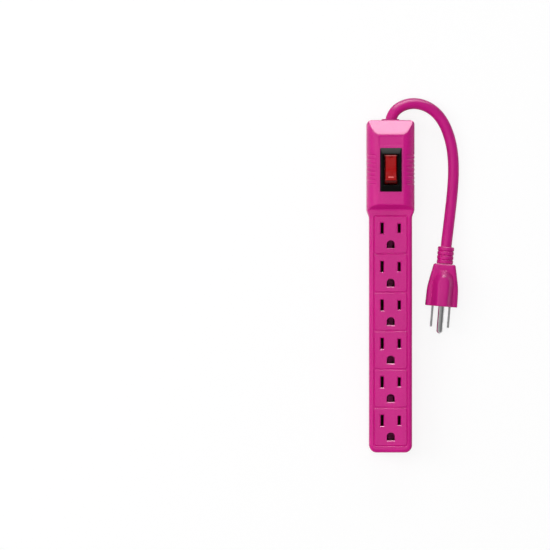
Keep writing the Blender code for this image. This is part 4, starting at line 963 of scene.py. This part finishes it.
@dataclass
class BottomCover:
    """The tray that closes the back: rounded lower edge, screw sinks and two keyholes with closed pockets."""

    case: CaseShape
    top: float = 12.2
    inner_wall: float = 3.7
    floor: float = 2.4
    edge: float = 1.0
    sink: float = 1.6
    sink_gap: float = 0.3
    sink_mouth: float = 0.55
    shank_hole: float = 1.45
    keyholes: tuple[float, float] = (105.0, -95.0)
    entry: float = 4.0
    slot: float = 2.0
    slot_run: float = 6.5
    pocket_half: float = 5.0
    pocket_wall: float = 1.2
    pocket_roof: float = 4.5
    roof: float = 0.8

    def keyhole(self, y: float) -> Array:
        """A round entry with a narrower slot that runs from it towards the cord end, as one loop."""
        mouth = math.asin(self.slot / self.entry)
        entry = np.linspace(math.pi / 2 + mouth, 2.5 * math.pi - mouth, 40)
        cap = np.linspace(0, math.pi, 17)
        circle = self.entry * np.column_stack([np.cos(entry), np.sin(entry)])
        slot = self.slot * np.column_stack([np.cos(cap), np.sin(cap)]) + (0.0, self.slot_run)
        return np.vstack([circle, slot]) + (0.0, y)

    def pocket(self, name: str, y: float, grow: float, low: float, high: float) -> Object:
        """A block over a keyhole, grown by grow on every side."""
        wide = self.pocket_half + grow
        return loft(name, box_rings((-wide, y - wide, low), (wide, y + wide + self.slot_run, high)))

    def screw_sinks(self) -> list[Object]:
        """The round sinks and through holes of the cover screws."""
        tools = []
        turn = np.linspace(0, 2 * math.pi, 40, endpoint=False)
        circle = np.column_stack([np.cos(turn), np.sin(turn)])
        for number in range(1, 9):
            low, high = node_box(f"cover_screw_{number}")
            middle, reach = (low[:2] + high[:2]) / 2, (high[0] - low[0]) / 2
            wall, mouth, shank = reach + self.sink_gap, reach + self.sink_mouth, self.shank_hole
            levels = [(mouth, -1.0), (wall, 0.3), (wall, self.sink), (shank, self.sink), (shank, 6.0)]
            rings = [np.column_stack([circle * r + middle, np.full(40, z)]) for r, z in levels]
            tools.append(loft(f"sink_{number}", np.stack(rings)))
        return tools

    def build(self) -> Object:
        """The finished tray: the outside lofted from insets of the plan, then hollowed and pierced."""
        turn = np.linspace(0, math.pi / 2, 6)
        levels = [(self.edge * (1 - math.sin(a)), self.edge * (1 - math.cos(a))) for a in turn]
        levels += [(0.0, self.top - 0.35), (0.3, self.top)]
        rings = np.stack([upright(self.case.plan(inset), [z])[0] for inset, z in levels])
        tray = loft("bottom_cover_tray", rings)
        hollow = loft("tray_hollow", upright(self.case.plan(self.inner_wall), [self.floor, self.top + 2]))
        combine(tray, [hollow], "DIFFERENCE")
        top = self.pocket_roof + self.roof
        wall, start = self.pocket_wall, self.floor / 2
        blocks = [self.pocket(f"block_{y:.0f}", y, wall, start, top) for y in self.keyholes]
        combine(tray, blocks, "UNION")
        pockets = [self.pocket(f"pocket_{y:.0f}", y, 0.0, self.floor - 0.3, self.pocket_roof) for y in self.keyholes]
        holes = [loft(f"keyhole_{y:.0f}", upright(self.keyhole(y), [-2.0, self.floor])) for y in self.keyholes]
        combine(tray, pockets, "DIFFERENCE")
        combine(tray, [*holes, *self.screw_sinks(), self.case.cord_bore("tray_bore")], "DIFFERENCE")
        return dress(tray, TRAY_PLASTIC, ["bottom_cover"])


# ---------------------------------------------------------------- the switch


@dataclass
class Switch:
    """The black snap-in frame with its bevelled bezel, and the red rocker that tilts in it."""

    pivot: Array = field(default_factory=lambda: np.array(frame["joints"][0]["pos_m"]) / MM)
    tilt: float = math.radians(-12)
    face: float = 31.03
    bezel: tuple[float, float] = (8.05, 16.2)
    crown: float = 33.4
    opening: tuple[float, float] = (6.25, 11.65)
    ledge: float = 30.9
    well: tuple[float, float] = (5.0, 11.2)
    tube: tuple[float, float] = (7.25, 12.6)
    tube_bottom: float = 14.3
    pin: float = 1.1
    pin_reach: float = 6.6
    rocker_half: tuple[float, float] = (4.675, 10.7)
    rim: float = 5.0
    middle: float = 3.2
    skirt: float = 2.6
    rocker_wall: float = 1.2
    roof: float = 1.6
    post: float = 2.0
    post_depth: float = 6.0
    post_bore: float = 1.25
    rib_pitch: float = 2.45
    lip: float = 1.9
    mark_y: float = -6.6

    @property
    def place(self) -> Matrix:
        """The rocker's own axes at rest, in millimetres."""
        return Matrix.Translation(self.pivot.tolist()) @ Matrix.Rotation(self.tilt, 4, "X")

    def pins(self, name: str, radius: float, place: Matrix) -> Object:
        """A round bar along X through the pivot."""
        angle = np.linspace(0, 2 * math.pi, 32, endpoint=False)
        y, z = radius * np.cos(angle), radius * np.sin(angle)
        rings = [np.column_stack([np.full(32, x), y, z]) for x in (-self.pin_reach, self.pin_reach)]
        return loft(name, placed(np.stack(rings), place))

    def build_frame(self) -> Object:
        """The frame as one loft of rounded rectangles that closes on itself.

        The rings climb the tube, pass under the flange, round its edge, rise over the bevel to the crown, drop to
        the ledge and go down the well.
        """
        levels = [
            (self.tube, self.tube_bottom, 0.4),
            (self.tube, self.face, 0.4),
            ((self.bezel[0] - 0.1, self.bezel[1] - 0.1), self.face, 0.5),
            (self.bezel, self.face + 0.1, 0.55),
            (self.bezel, self.face + 0.32, 0.55),
            ((self.bezel[0] - 0.07, self.bezel[1] - 0.09), self.face + 0.42, 0.5),
            ((self.opening[0] + 0.42, self.opening[1] + 0.46), self.crown - 0.06, 0.35),
            ((self.opening[0] + 0.3, self.opening[1] + 0.3), self.crown, 0.32),
            ((self.opening[0] + 0.1, self.opening[1] + 0.1), self.crown, 0.3),
            (self.opening, self.crown - 0.1, 0.3),
            (self.opening, self.ledge, 0.3),
            (self.well, self.ledge, 0.25),
            (self.well, self.tube_bottom, 0.25),
        ]
        centre = self.pivot[:2]
        rings = [np.column_stack([rounded_outline(h, r) + centre, np.full(20, z)]) for h, z, r in levels]
        bezel = loft("switch_bezel", np.stack(rings), closed=True)
        hole = self.pins("pivot_hole", self.pin + 0.3, Matrix.Translation(self.pivot.tolist()))
        combine(bezel, [hole], "DIFFERENCE")
        return dress(bezel, BEZEL_PLASTIC, ["switch_frame"])

    def rocker_top(self, x: Array, y: Array) -> Array:
        """The rocker's face: two flats that fall to the middle, a round edge, side ribs and a thumb dimple.

        Args:
            x: Places across.
            y: Places along, from the pivot.

        Returns:
            The height over the pivot at each place.
        """
        fall = self.middle + (self.rim - self.middle) * np.abs(y) / self.rocker_half[1]
        face = smooth_max(fall, self.middle, 0.25)
        edge = corner_loss(-plate_distance(x, y, self.rocker_half, 0.5), 0.45)
        ribs = 0.5 + 0.5 * np.cos(2 * math.pi * y / self.rib_pitch)
        side = ease_in(np.abs(x), self.rocker_half[0] - 0.95, self.rocker_half[0])
        dimple = plate_distance(x, y - self.rocker_half[1] + 2.1, (1.1, 0.6), 0.5)
        lip = self.rim + 1.5 * (y + self.rocker_half[1] - self.lip)
        face = smooth_min(face, lip, 0.15) - 0.9 * ease_in(-dimple, -0.1, 0.25)
        return face - edge - (0.6 + 0.5 * ribs) * side

    def build_rocker(self) -> Object:
        """The rocker: its face over a grid, closed by its skirts, with pocket, post, bore and pivot pins."""
        half_x, half_y = self.rocker_half
        edge = np.array([0.0, 0.02, 0.07, 0.15, 0.26, 0.45, 0.7, 1.1])
        x = merged_lines(-half_x + edge, np.linspace(-half_x + 1.4, half_x - 1.4, 17), half_x - edge)
        y = merged_lines(-half_y + edge, np.linspace(-half_y + 1.1, half_y - 1.1, 110), half_y - edge)
        grid_x, grid_y = np.meshgrid(x, y, indexing="ij")
        top = np.stack([grid_x, grid_y, self.rocker_top(grid_x, grid_y)], axis=-1)
        low = np.full(len(x), -self.skirt)
        start = np.stack([x, np.full(len(x), -half_y), low], axis=-1)[:, None, :]
        end = np.stack([x, np.full(len(x), half_y), low], axis=-1)[:, None, :]
        rocker = loft("rocker_lens", placed(np.concatenate([start, top, end], axis=1), self.place))
        wall = self.rocker_wall
        pocket_low = (-half_x + wall, -half_y + 2 * wall, -2 * self.skirt)
        pocket_high = (half_x - wall, half_y - 2 * wall, self.middle - self.roof)
        pocket = loft("pocket", placed(box_rings(pocket_low, pocket_high), self.place))
        combine(rocker, [pocket], "DIFFERENCE")
        post_low = (-self.post, -self.post, -self.post_depth)
        post = loft("post", placed(box_rings(post_low, (self.post, self.post, self.middle - 0.8)), self.place))
        combine(rocker, [post, self.pins("pins", self.pin, self.place)], "UNION")
        turn = np.linspace(0, 2 * math.pi, 32, endpoint=False)
        circle = self.post_bore * np.column_stack([np.cos(turn), np.sin(turn)])
        bore = loft("bore", placed(upright(circle, [-self.post_depth - 1, 0.7]), self.place))
        combine(rocker, [bore], "DIFFERENCE")
        return dress(rocker, RED_LENS, ["rocker"], Body.ROCKER)

    def build_mark(self) -> Object:
        """The plain bar on the raised end of the rocker: a low rounded block that follows the face."""
        outline = rounded_outline((2.0, 0.5), 0.3, 5)
        y = outline[:, 1] + self.mark_y
        flat = np.column_stack([outline[:, 0], y])
        face = self.middle + (self.rim - self.middle) * np.abs(y) / self.rocker_half[1]
        levels = [(1.0, -0.08), (1.0, 0.05), (0.9, 0.09)]
        middle = np.array([0.0, self.mark_y])
        rings = [np.column_stack([(flat - middle) * s + middle, face + lift]) for s, lift in levels]
        mark = loft("rocker_mark", placed(np.stack(rings), self.place))
        return dress(mark, MARK_PAINT, [], Body.ROCKER)


# ---------------------------------------------------------------- the cord and the plug


@dataclass
class Cord:
    """The free cord: one smooth tube from inside the head to the plug, with its bush at the end wall."""

    diameter: float = 8.2
    around: int = 40
    step: float = 1.2
    end: float = field(default_factory=lambda: float(node_box("bottom_cover")[1][1]))
    seam: float = 12.5
    collar: float = 0.9
    route: tuple[tuple[float, float, float], ...] = (
        (0.0, 0.106, 0.0125),
        (0.0, 0.114, 0.0125),
        (0.00005, 0.1204, 0.0125),
        (0.00075, 0.1254, 0.01235),
        (0.0034, 0.1303, 0.0118),
        (0.0084, 0.1341, 0.0108),
        (0.0148, 0.1361, 0.0094),
        (0.0216, 0.1359, 0.008),
        (0.0286, 0.1334, 0.0067),
        (0.0348, 0.1287, 0.0056),
        (0.0398, 0.1219, 0.0048),
        (0.0434, 0.1136, 0.0043),
        (0.0458, 0.1044, 0.00415),
        (0.047, 0.0946, 0.00415),
        (0.0472, 0.084, 0.00415),
        (0.0466, 0.0728, 0.00415),
        (0.0455, 0.0616, 0.0044),
        (0.0442, 0.0506, 0.0055),
        (0.04305, 0.0414, 0.0073),
        (0.0422, 0.0348, 0.0084),
        (0.04164, 0.0296, 0.0086),
        (0.04113, 0.0235, 0.0086),
        (0.04062, 0.0174, 0.0086),
    )

    def path(self) -> Array:
        """The middle line, in millimetres."""
        return smooth_path(np.array(self.route) / MM, self.step)

    def build(self) -> Object:
        """The tube: at each point of the path, x = r cos a along the side and r sin a along the lifted normal."""
        path = self.path()
        along = np.gradient(path, axis=0)
        along /= np.linalg.norm(along, axis=1)[:, None]
        side = np.cross(along, (0.0, 0.0, 1.0))
        side /= np.linalg.norm(side, axis=1)[:, None]
        lift = np.cross(side, along)
        angle = np.linspace(0, 2 * math.pi, self.around, endpoint=False)[None, :, None]
        ring = np.cos(angle) * side[:, None, :] + np.sin(angle) * lift[:, None, :]
        rings = path[:, None, :] + self.diameter / 2 * ring
        cord = loft("cord_tube", rings)
        self.lay_out(cord, path)
        return dress(cord, CORD_VINYL, ["cord"])

    def lay_out(self, cord: Object, path: Array) -> None:
        """Writes the run map: u is the share of the length and v the share of the way around."""
        mesh = cord.data
        count = len(mesh.loops)
        corner = np.empty(count, np.int32)
        mesh.loops.foreach_get("vertex_index", corner)
        place = np.empty(len(mesh.vertices) * 3, np.float32)
        mesh.vertices.foreach_get("co", place)
        place = place.reshape(-1, 3) / MM
        nearest = np.argmin(((place[:, None, :] - path[None, :, :]) ** 2).sum(axis=-1), axis=1)
        away = place - path[nearest]
        turn = np.arctan2(away[:, 2], np.hypot(away[:, 0], away[:, 1]) * np.sign(away[:, 0] + 1e-6))
        uv = np.column_stack([nearest / (len(path) - 1), turn / (2 * math.pi) + 0.5])[corner]
        layer = mesh.uv_layers.new(name="run")
        layer.data.foreach_set("uv", uv.astype(np.float32).ravel())

    def build_grip(self) -> Object:
        """The bush in the end wall, turned about the cord: inner flange, neck and a low collar outside."""
        bore, neck, flange = 4.4, 6.6, 8.2
        profile = np.array(
            [
                (bore, -7.2),
                (bore, -2.4),
                (bore + 0.9, self.collar),
                (bore + 1.15, self.collar + 0.12),
                (neck - 0.35, self.collar + 0.12),
                (neck - 0.08, self.collar - 0.08),
                (neck, self.collar - 0.4),
                (neck, -4.0),
                (flange, -4.0),
                (flange, -5.6),
                (neck, -5.6),
                (neck, -7.2),
            ]
        )
        place = Matrix.Translation((0, self.end, self.seam)) @ Matrix.Rotation(math.radians(-90), 4, "X")
        grip = turned("cord_bush", profile, place, 56)
        return dress(grip, PLUG_VINYL, ["cord_grip"])


@dataclass
class Plug:
    """The moulded plug: a slab that narrows to the cord, a ridge over the ground pin and a ringed relief."""

    turn: float = math.radians(-4.8)
    front: Array = field(default_factory=lambda: mount("plug_face"))
    length: float = 31.6
    front_half: float = 11.95
    waist_half: float = 11.7
    waist: float = 14.0
    back_half: float = 8.0
    slab: float = 14.5
    back_height: float = 16.4
    ridge_top: float = 23.6
    ridge_foot: float = 7.9
    ridge_flat: float = 3.9
    ridge_length: float = 26.9
    nose: float = 11.0
    ridge_droop: float = 0.14
    ridge_ease: float = 2.4
    corner: float = 2.4
    cord_height: float = 8.6
    relief: float = 12.8
    relief_gap: float = 0.1
    relief_bore: float = 4.2
    relief_radius: float = 6.1
    relief_valley: float = 0.6
    rings: int = 4
    bridge: tuple[float, float, float] = (9.5, 5.1, 3.3)
    blade_height: float = 7.0

    @property
    def place(self) -> Matrix:
        """The plug's own axes: +Y back along the cord, in millimetres."""
        shift = (float(self.front[0]), float(self.front[1]), 0.0)
        return Matrix.Translation(shift) @ Matrix.Rotation(self.turn, 4, "Z")

    def half_width(self, y: Array) -> Array:
        """Half the slab's width: nearly straight to the waist, then a straight taper, with a soft turn between."""
        grip = self.front_half + (self.waist_half - self.front_half) * y / self.waist
        taper = self.waist_half + (self.back_half - self.waist_half) * (y - self.waist) / (self.length - self.waist)
        return smooth_min(grip, taper, 0.6)

    def ridge(self, x: Array, y: Array) -> Array:
        """The height that the ridge adds: sloping sides under a flat top, and half a cone towards the cord.

        Args:
            x: Places across.
            y: Places back from the front face.

        Returns:
            The height over the slab at each place.
        """
        full = self.ridge_top - self.slab
        past = np.maximum(y - self.ridge_length + self.nose, 0.0) / self.nose
        share = 1 - np.hypot(np.abs(x) / self.ridge_foot, past)
        side = full * np.maximum(share, -0.3) * self.ridge_foot / (self.ridge_foot - self.ridge_flat)
        droop = full * (1 - self.ridge_droop * ease_in(y, 6.0, 20.0))
        return np.maximum(smooth_min(side, droop, self.ridge_ease), 0.0)

    def build_body(self) -> Object:
        """The plug's body as rounded sections from front to back, with the ridge added to the upper side."""
        y = merged_lines(
            0.9 * (1 - np.cos(np.linspace(0, math.pi / 2, 6))),
            np.linspace(1.4, 19.0, 22),
            np.linspace(19.4, 28.0, 30),
            np.linspace(28.4, self.length - 1.2, 6),
            self.length - 1.2 * (1 - np.cos(np.linspace(0, math.pi / 2, 7))),
        )[:, None]
        loss = corner_loss(y, 0.9) * 0.7 + corner_loss(self.length - y, 1.2)
        half = self.half_width(y) - loss
        top = self.slab + (self.back_height - self.slab) * ease_in(y, self.waist, self.length) - loss
        low = 0.6 * ease_in(y, self.waist, self.length) + loss
        corner = np.minimum(self.corner, half - 1)
        arc = np.linspace(0, math.pi / 2, 8)[None, :]
        span = np.linspace(1, -1, 61)[None, 1:-1]
        side_x, side_z = corner * (1 - np.cos(arc)), corner * (1 - np.sin(arc))
        right_up = np.stack([half - side_x, top - side_z], axis=-1)
        left_up = np.stack([-half + side_x, top - side_z], axis=-1)[:, ::-1]
        over = np.stack([span * (half - corner), top + 0 * span], axis=-1)
        under = np.stack([-span * (half - corner), low + 0 * span], axis=-1)
        left_low = np.stack([-half + side_x, low + side_z], axis=-1)
        right_low = np.stack([half - side_x, low + side_z], axis=-1)[:, ::-1]
        section = np.concatenate([right_up, over, left_up, left_low, under, right_low], axis=1)
        upper = np.zeros(section.shape[1])
        upper[: 16 + span.shape[1]] = 1.0
        x, z = section[..., 0], section[..., 1]
        z = z + upper * self.ridge(x, y)
        rings = np.stack([x, np.broadcast_to(y, x.shape), z], axis=-1)
        body = loft("plug_moulding", placed(rings, self.place))
        wide, high, deep = self.bridge
        low_corner = (-wide, -2.0, self.blade_height - high)
        high_corner = (wide, deep, self.blade_height + high)
        pocket = loft("front_pocket", placed(box_rings(low_corner, high_corner), self.place))
        combine(body, [pocket], "DIFFERENCE")
        return dress(body, PLUG_VINYL, ["plug_body"])

    def build_relief(self) -> Object:
        """The ringed sleeve, turned about the cord: r falls in a cosine valley between neighbouring rings."""
        y = np.linspace(0, self.relief, 97)
        share = (y / self.relief * self.rings) % 1.0
        valley = self.relief_valley * np.clip(np.cos(2 * math.pi * share), 0.0, 1.0) ** 4
        radius = self.relief_radius - valley * (y < self.relief - 1) - corner_loss(self.relief - y, 1.0)
        start = self.length + self.relief_gap
        outer = np.column_stack([radius, y + start])
        bore = np.array([(self.relief_bore, start + self.relief), (self.relief_bore, start)])
        place = self.place @ Matrix.Translation((0, 0, self.cord_height)) @ Matrix.Rotation(math.radians(-90), 4, "X")
        relief = turned("plug_relief", np.vstack([outer, bore]), place, 56)
        return dress(relief, PLUG_VINYL, ["plug_strain_relief"])

    def build_pin(self) -> Object:
        """The ground pin, turned about its own axis with a round tip."""
        low, high = node_box("ground_pin")
        radius, reach, tail = (high[2] - low[2]) / 2, 20.3, 9.0
        angle = np.linspace(0.02, math.pi / 2, 14)
        tip = np.column_stack([radius * np.sin(angle), reach - radius + radius * np.cos(angle)])
        profile = np.vstack([[(0.0, reach)], tip, [(radius, -tail), (0.0, -tail)]])
        spot = Matrix.Translation((0, 0, (low[2] + high[2]) / 2)) @ Matrix.Rotation(math.radians(90), 4, "X")
        pin = turned("ground_pin_turned", profile, self.place @ spot, 40)
        return dress(pin, BLADE_NICKEL, ["ground_pin"])


# ---------------------------------------------------------------- inside


@dataclass
class Inside:
    """The frame's own pieces that keep their shape and take a finish."""

    brass: tuple[str, ...] = (
        "neutral_bus", "line_bus", "ground_bus", "contact_lever", "load_terminal", "line_terminal", "lamp_terminal",
    )
    nickel: tuple[str, ...] = ("neutral_blade", "line_blade")
    black: tuple[str, ...] = ("switch_base", "plunger")

    def dress(self) -> None:
        """Puts each node's finish in its material slots."""
        # The brass parts take the brass that is darkened as painted shade.
        finishes: dict[str, Finish] = {name: SHADE_DARKENED_BRASS for name in self.brass}
        finishes |= {name: BLADE_NICKEL for name in self.nickel}
        finishes |= {name: INNER_PLASTIC for name in self.black}
        finishes |= {f"cover_screw_{i}": SCREW_ZINC for i in range(1, 9)}
        finishes |= {
            "plunger_spring": SCREW_ZINC,
            "neon_lamp": NEON_GLASS,
            "lamp_resistor": RESISTOR_PAINT,
            "line_wire": BLACK_WIRE,
            "load_wire": BLACK_WIRE,
            "neutral_wire": WHITE_WIRE,
            "lamp_wire": WHITE_WIRE,
            "ground_wire": GREEN_WIRE,
            "plug_bridge": PLUG_VINYL,
        }
        made: dict[str, Material] = {}
        for node, finish in finishes.items():
            material = made.setdefault(finish.name, finish.material())
            piece = frame["nodes"][node]
            piece.data.materials.clear()
            piece.data.materials.append(material)
        LOG.info("inside: %d nodes dressed", len(finishes))


# ---------------------------------------------------------------- the studio


@dataclass
class Softbox:
    """An area lamp that looks at a point."""

    name: str
    place: tuple[float, float, float]
    size: tuple[float, float]
    radiance: float
    reach: Reach = Reach.BOTH
    target: tuple[float, float, float] = (0.0, 0.0, 0.02)

    def build(self) -> None:
        """Makes the lamp; its power is pi times its area times its radiance."""
        lamp = bpy.data.lights.new(self.name, "AREA")
        lamp.shape = "RECTANGLE"
        lamp.size, lamp.size_y = self.size
        lamp.energy = math.pi * self.size[0] * self.size[1] * self.radiance
        holder = bpy.data.objects.new(self.name, lamp)
        holder.location = self.place
        aim = Vector(self.target) - Vector(self.place)
        holder.rotation_euler = aim.to_track_quat("-Z", "Y").to_euler()
        holder.visible_camera = False
        holder.visible_glossy = self.reach is not Reach.SHADE
        holder.visible_diffuse = self.reach is not Reach.GLOSS
        bpy.context.scene.collection.objects.link(holder)


@dataclass
class Studio:
    """The pale floor, the soft light and the camera that looks straight down."""

    camera_place: tuple[float, float, float] = (-0.08596, 0.00845, 4.0)
    focus_height: float = 0.025
    view_width: float = 0.4084
    ambient: float = 0.46
    floor_drop: float = 0.3
    floor_glow: float = 0.84
    lamps: tuple[Softbox, ...] = (
        Softbox("end_gloss", (0.0, 1.28, 0.74), (1.0, 0.34), 31.0, Reach.GLOSS, (0.0, 0.12, 0.03)),
        Softbox("end_shade", (0.0, 1.28, 0.74), (1.0, 0.4), 2.6, Reach.SHADE, (0.0, 0.1, 0.03)),
        Softbox("far_strip", (0.0, 1.5, 0.16), (1.8, 0.2), 60.0, Reach.GLOSS),
        Softbox("left_shade", (-1.1, 0.25, 1.0), (0.7, 0.9), 4.4, Reach.SHADE),
        Softbox("left_gloss", (-1.1, 0.25, 1.0), (0.7, 0.9), 2.4, Reach.GLOSS),
        Softbox("top_shade", (-0.2, 0.1, 2.0), (1.2, 1.2), 4.1, Reach.SHADE),
        Softbox("foot_strip", (0.0, -1.3, 0.3), (1.0, 0.25), 2.4, Reach.SHADE),
    )

    def build_floor(self) -> Object:
        """A wide floor that reads as white to the camera and still takes a faint shadow."""
        reach = 3.0 / MM
        corners = np.array([(-1, -1), (1, -1), (1, 1), (-1, 1)]) * reach
        points = np.column_stack([corners, np.full(4, -self.floor_drop)])
        floor = make_mesh("floor", points, [[0, 1, 2, 3]])
        shading = Shading.named("floor_paper")
        grain = shading.noise(shading.object_place(), 900.0, 2.0)
        colour = shading.tint(grain, (0.86, 0.86, 0.86), (0.9, 0.9, 0.9))
        shading.join(colour, shading.surface.inputs["Base Color"])
        shading.surface.inputs["Roughness"].default_value = 0.9
        shading.surface.inputs["Specular IOR Level"].default_value = 0.0
        glow = shading.add("ShaderNodeEmission", {"Color": (1, 1, 1, 1), "Strength": 1.0})
        rays = shading.add("ShaderNodeLightPath").outputs
        share = shading.add("ShaderNodeMath", operation="MULTIPLY")
        shading.join(rays["Is Camera Ray"], share.inputs[0])
        shading.join(self.floor_glow, share.inputs[1])
        mix = shading.add("ShaderNodeMixShader")
        shading.join(share.outputs[0], mix.inputs[0])
        shading.join(shading.surface.outputs["BSDF"], mix.inputs[1])
        shading.join(glow.outputs["Emission"], mix.inputs[2])
        output = shading.material.node_tree.nodes["Material Output"]
        shading.join(mix.outputs["Shader"], output.inputs["Surface"])
        floor.data.materials.append(shading.material)
        return floor

    def build_world(self) -> None:
        """White to the camera, bright near the horizon for gloss, and an even soft fill for the rest."""
        world = bpy.data.worlds.new("studio")
        world.use_nodes = True
        bpy.context.scene.world = world
        tree = world.node_tree
        tree.nodes.clear()
        link = tree.links.new
        rays = tree.nodes.new("ShaderNodeLightPath").outputs
        place = tree.nodes.new("ShaderNodeTexCoord").outputs["Generated"]
        axes = tree.nodes.new("ShaderNodeSeparateXYZ")
        link(place, axes.inputs[0])
        falls = []
        for axis, near, far, least in (("Z", 0.05, 0.7, 0.42), ("X", -0.2, 0.9, 0.25)):
            fall = tree.nodes.new("ShaderNodeMapRange")
            link(axes.outputs[axis], fall.inputs["Value"])
            for key, value in (("From Min", near), ("From Max", far), ("To Min", 1.0), ("To Max", least)):
                fall.inputs[key].default_value = value
            falls.append(fall.outputs[0])
        glossy = tree.nodes.new("ShaderNodeMath")
        glossy.operation = "MULTIPLY"
        link(falls[0], glossy.inputs[0])
        link(falls[1], glossy.inputs[1])
        is_gloss = tree.nodes.new("ShaderNodeMath")
        is_gloss.operation = "MAXIMUM"
        link(rays["Is Glossy Ray"], is_gloss.inputs[0])
        link(rays["Is Transmission Ray"], is_gloss.inputs[1])
        first = tree.nodes.new("ShaderNodeMix")
        link(is_gloss.outputs[0], first.inputs["Factor"])
        first.inputs[2].default_value = self.ambient
        link(glossy.outputs[0], first.inputs[3])
        second = tree.nodes.new("ShaderNodeMix")
        link(rays["Is Camera Ray"], second.inputs["Factor"])
        link(first.outputs[0], second.inputs[2])
        second.inputs[3].default_value = 1.0
        back = tree.nodes.new("ShaderNodeBackground")
        link(second.outputs[0], back.inputs["Strength"])
        output = tree.nodes.new("ShaderNodeOutputWorld")
        link(back.outputs[0], output.inputs["Surface"])

    def build_camera(self) -> None:
        """A long lens straight over the scene: its focal length is the sensor times the distance over the width."""
        lens = bpy.data.cameras.new("camera")
        distance = self.camera_place[2] - self.focus_height
        lens.lens = lens.sensor_width * distance / self.view_width
        lens.clip_end = 20.0
        camera = bpy.data.objects.new("camera", lens)
        camera.location = self.camera_place
        bpy.context.scene.collection.objects.link(camera)
        bpy.context.scene.camera = camera

    def build(self) -> None:
        """Sets the whole studio."""
        self.build_floor()
        self.build_world()
        self.build_camera()
        for lamp in self.lamps:
            lamp.build()
        bpy.context.scene.view_settings.view_transform = "Standard"


def main() -> None:
    logging.basicConfig(level=logging.INFO, format="%(name)s: %(message)s")
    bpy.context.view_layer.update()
    Studio().build()
    cord_kit = Cord()
    cord = cord_kit.build()
    grip = cord_kit.build_grip()
    case = CaseShape()
    TopCover(case).build()
    BottomCover(case).build()
    switch = Switch()
    switch.build_frame()
    switch.build_rocker()
    switch.build_mark()
    plug = Plug()
    carried = [grip, plug.build_body(), plug.build_relief(), plug.build_pin()]
    Inside().dress()
    carried += [frame["nodes"][name] for name in ("plug_bridge", "neutral_blade", "line_blade")]


if __name__ == "__main__":
    main()
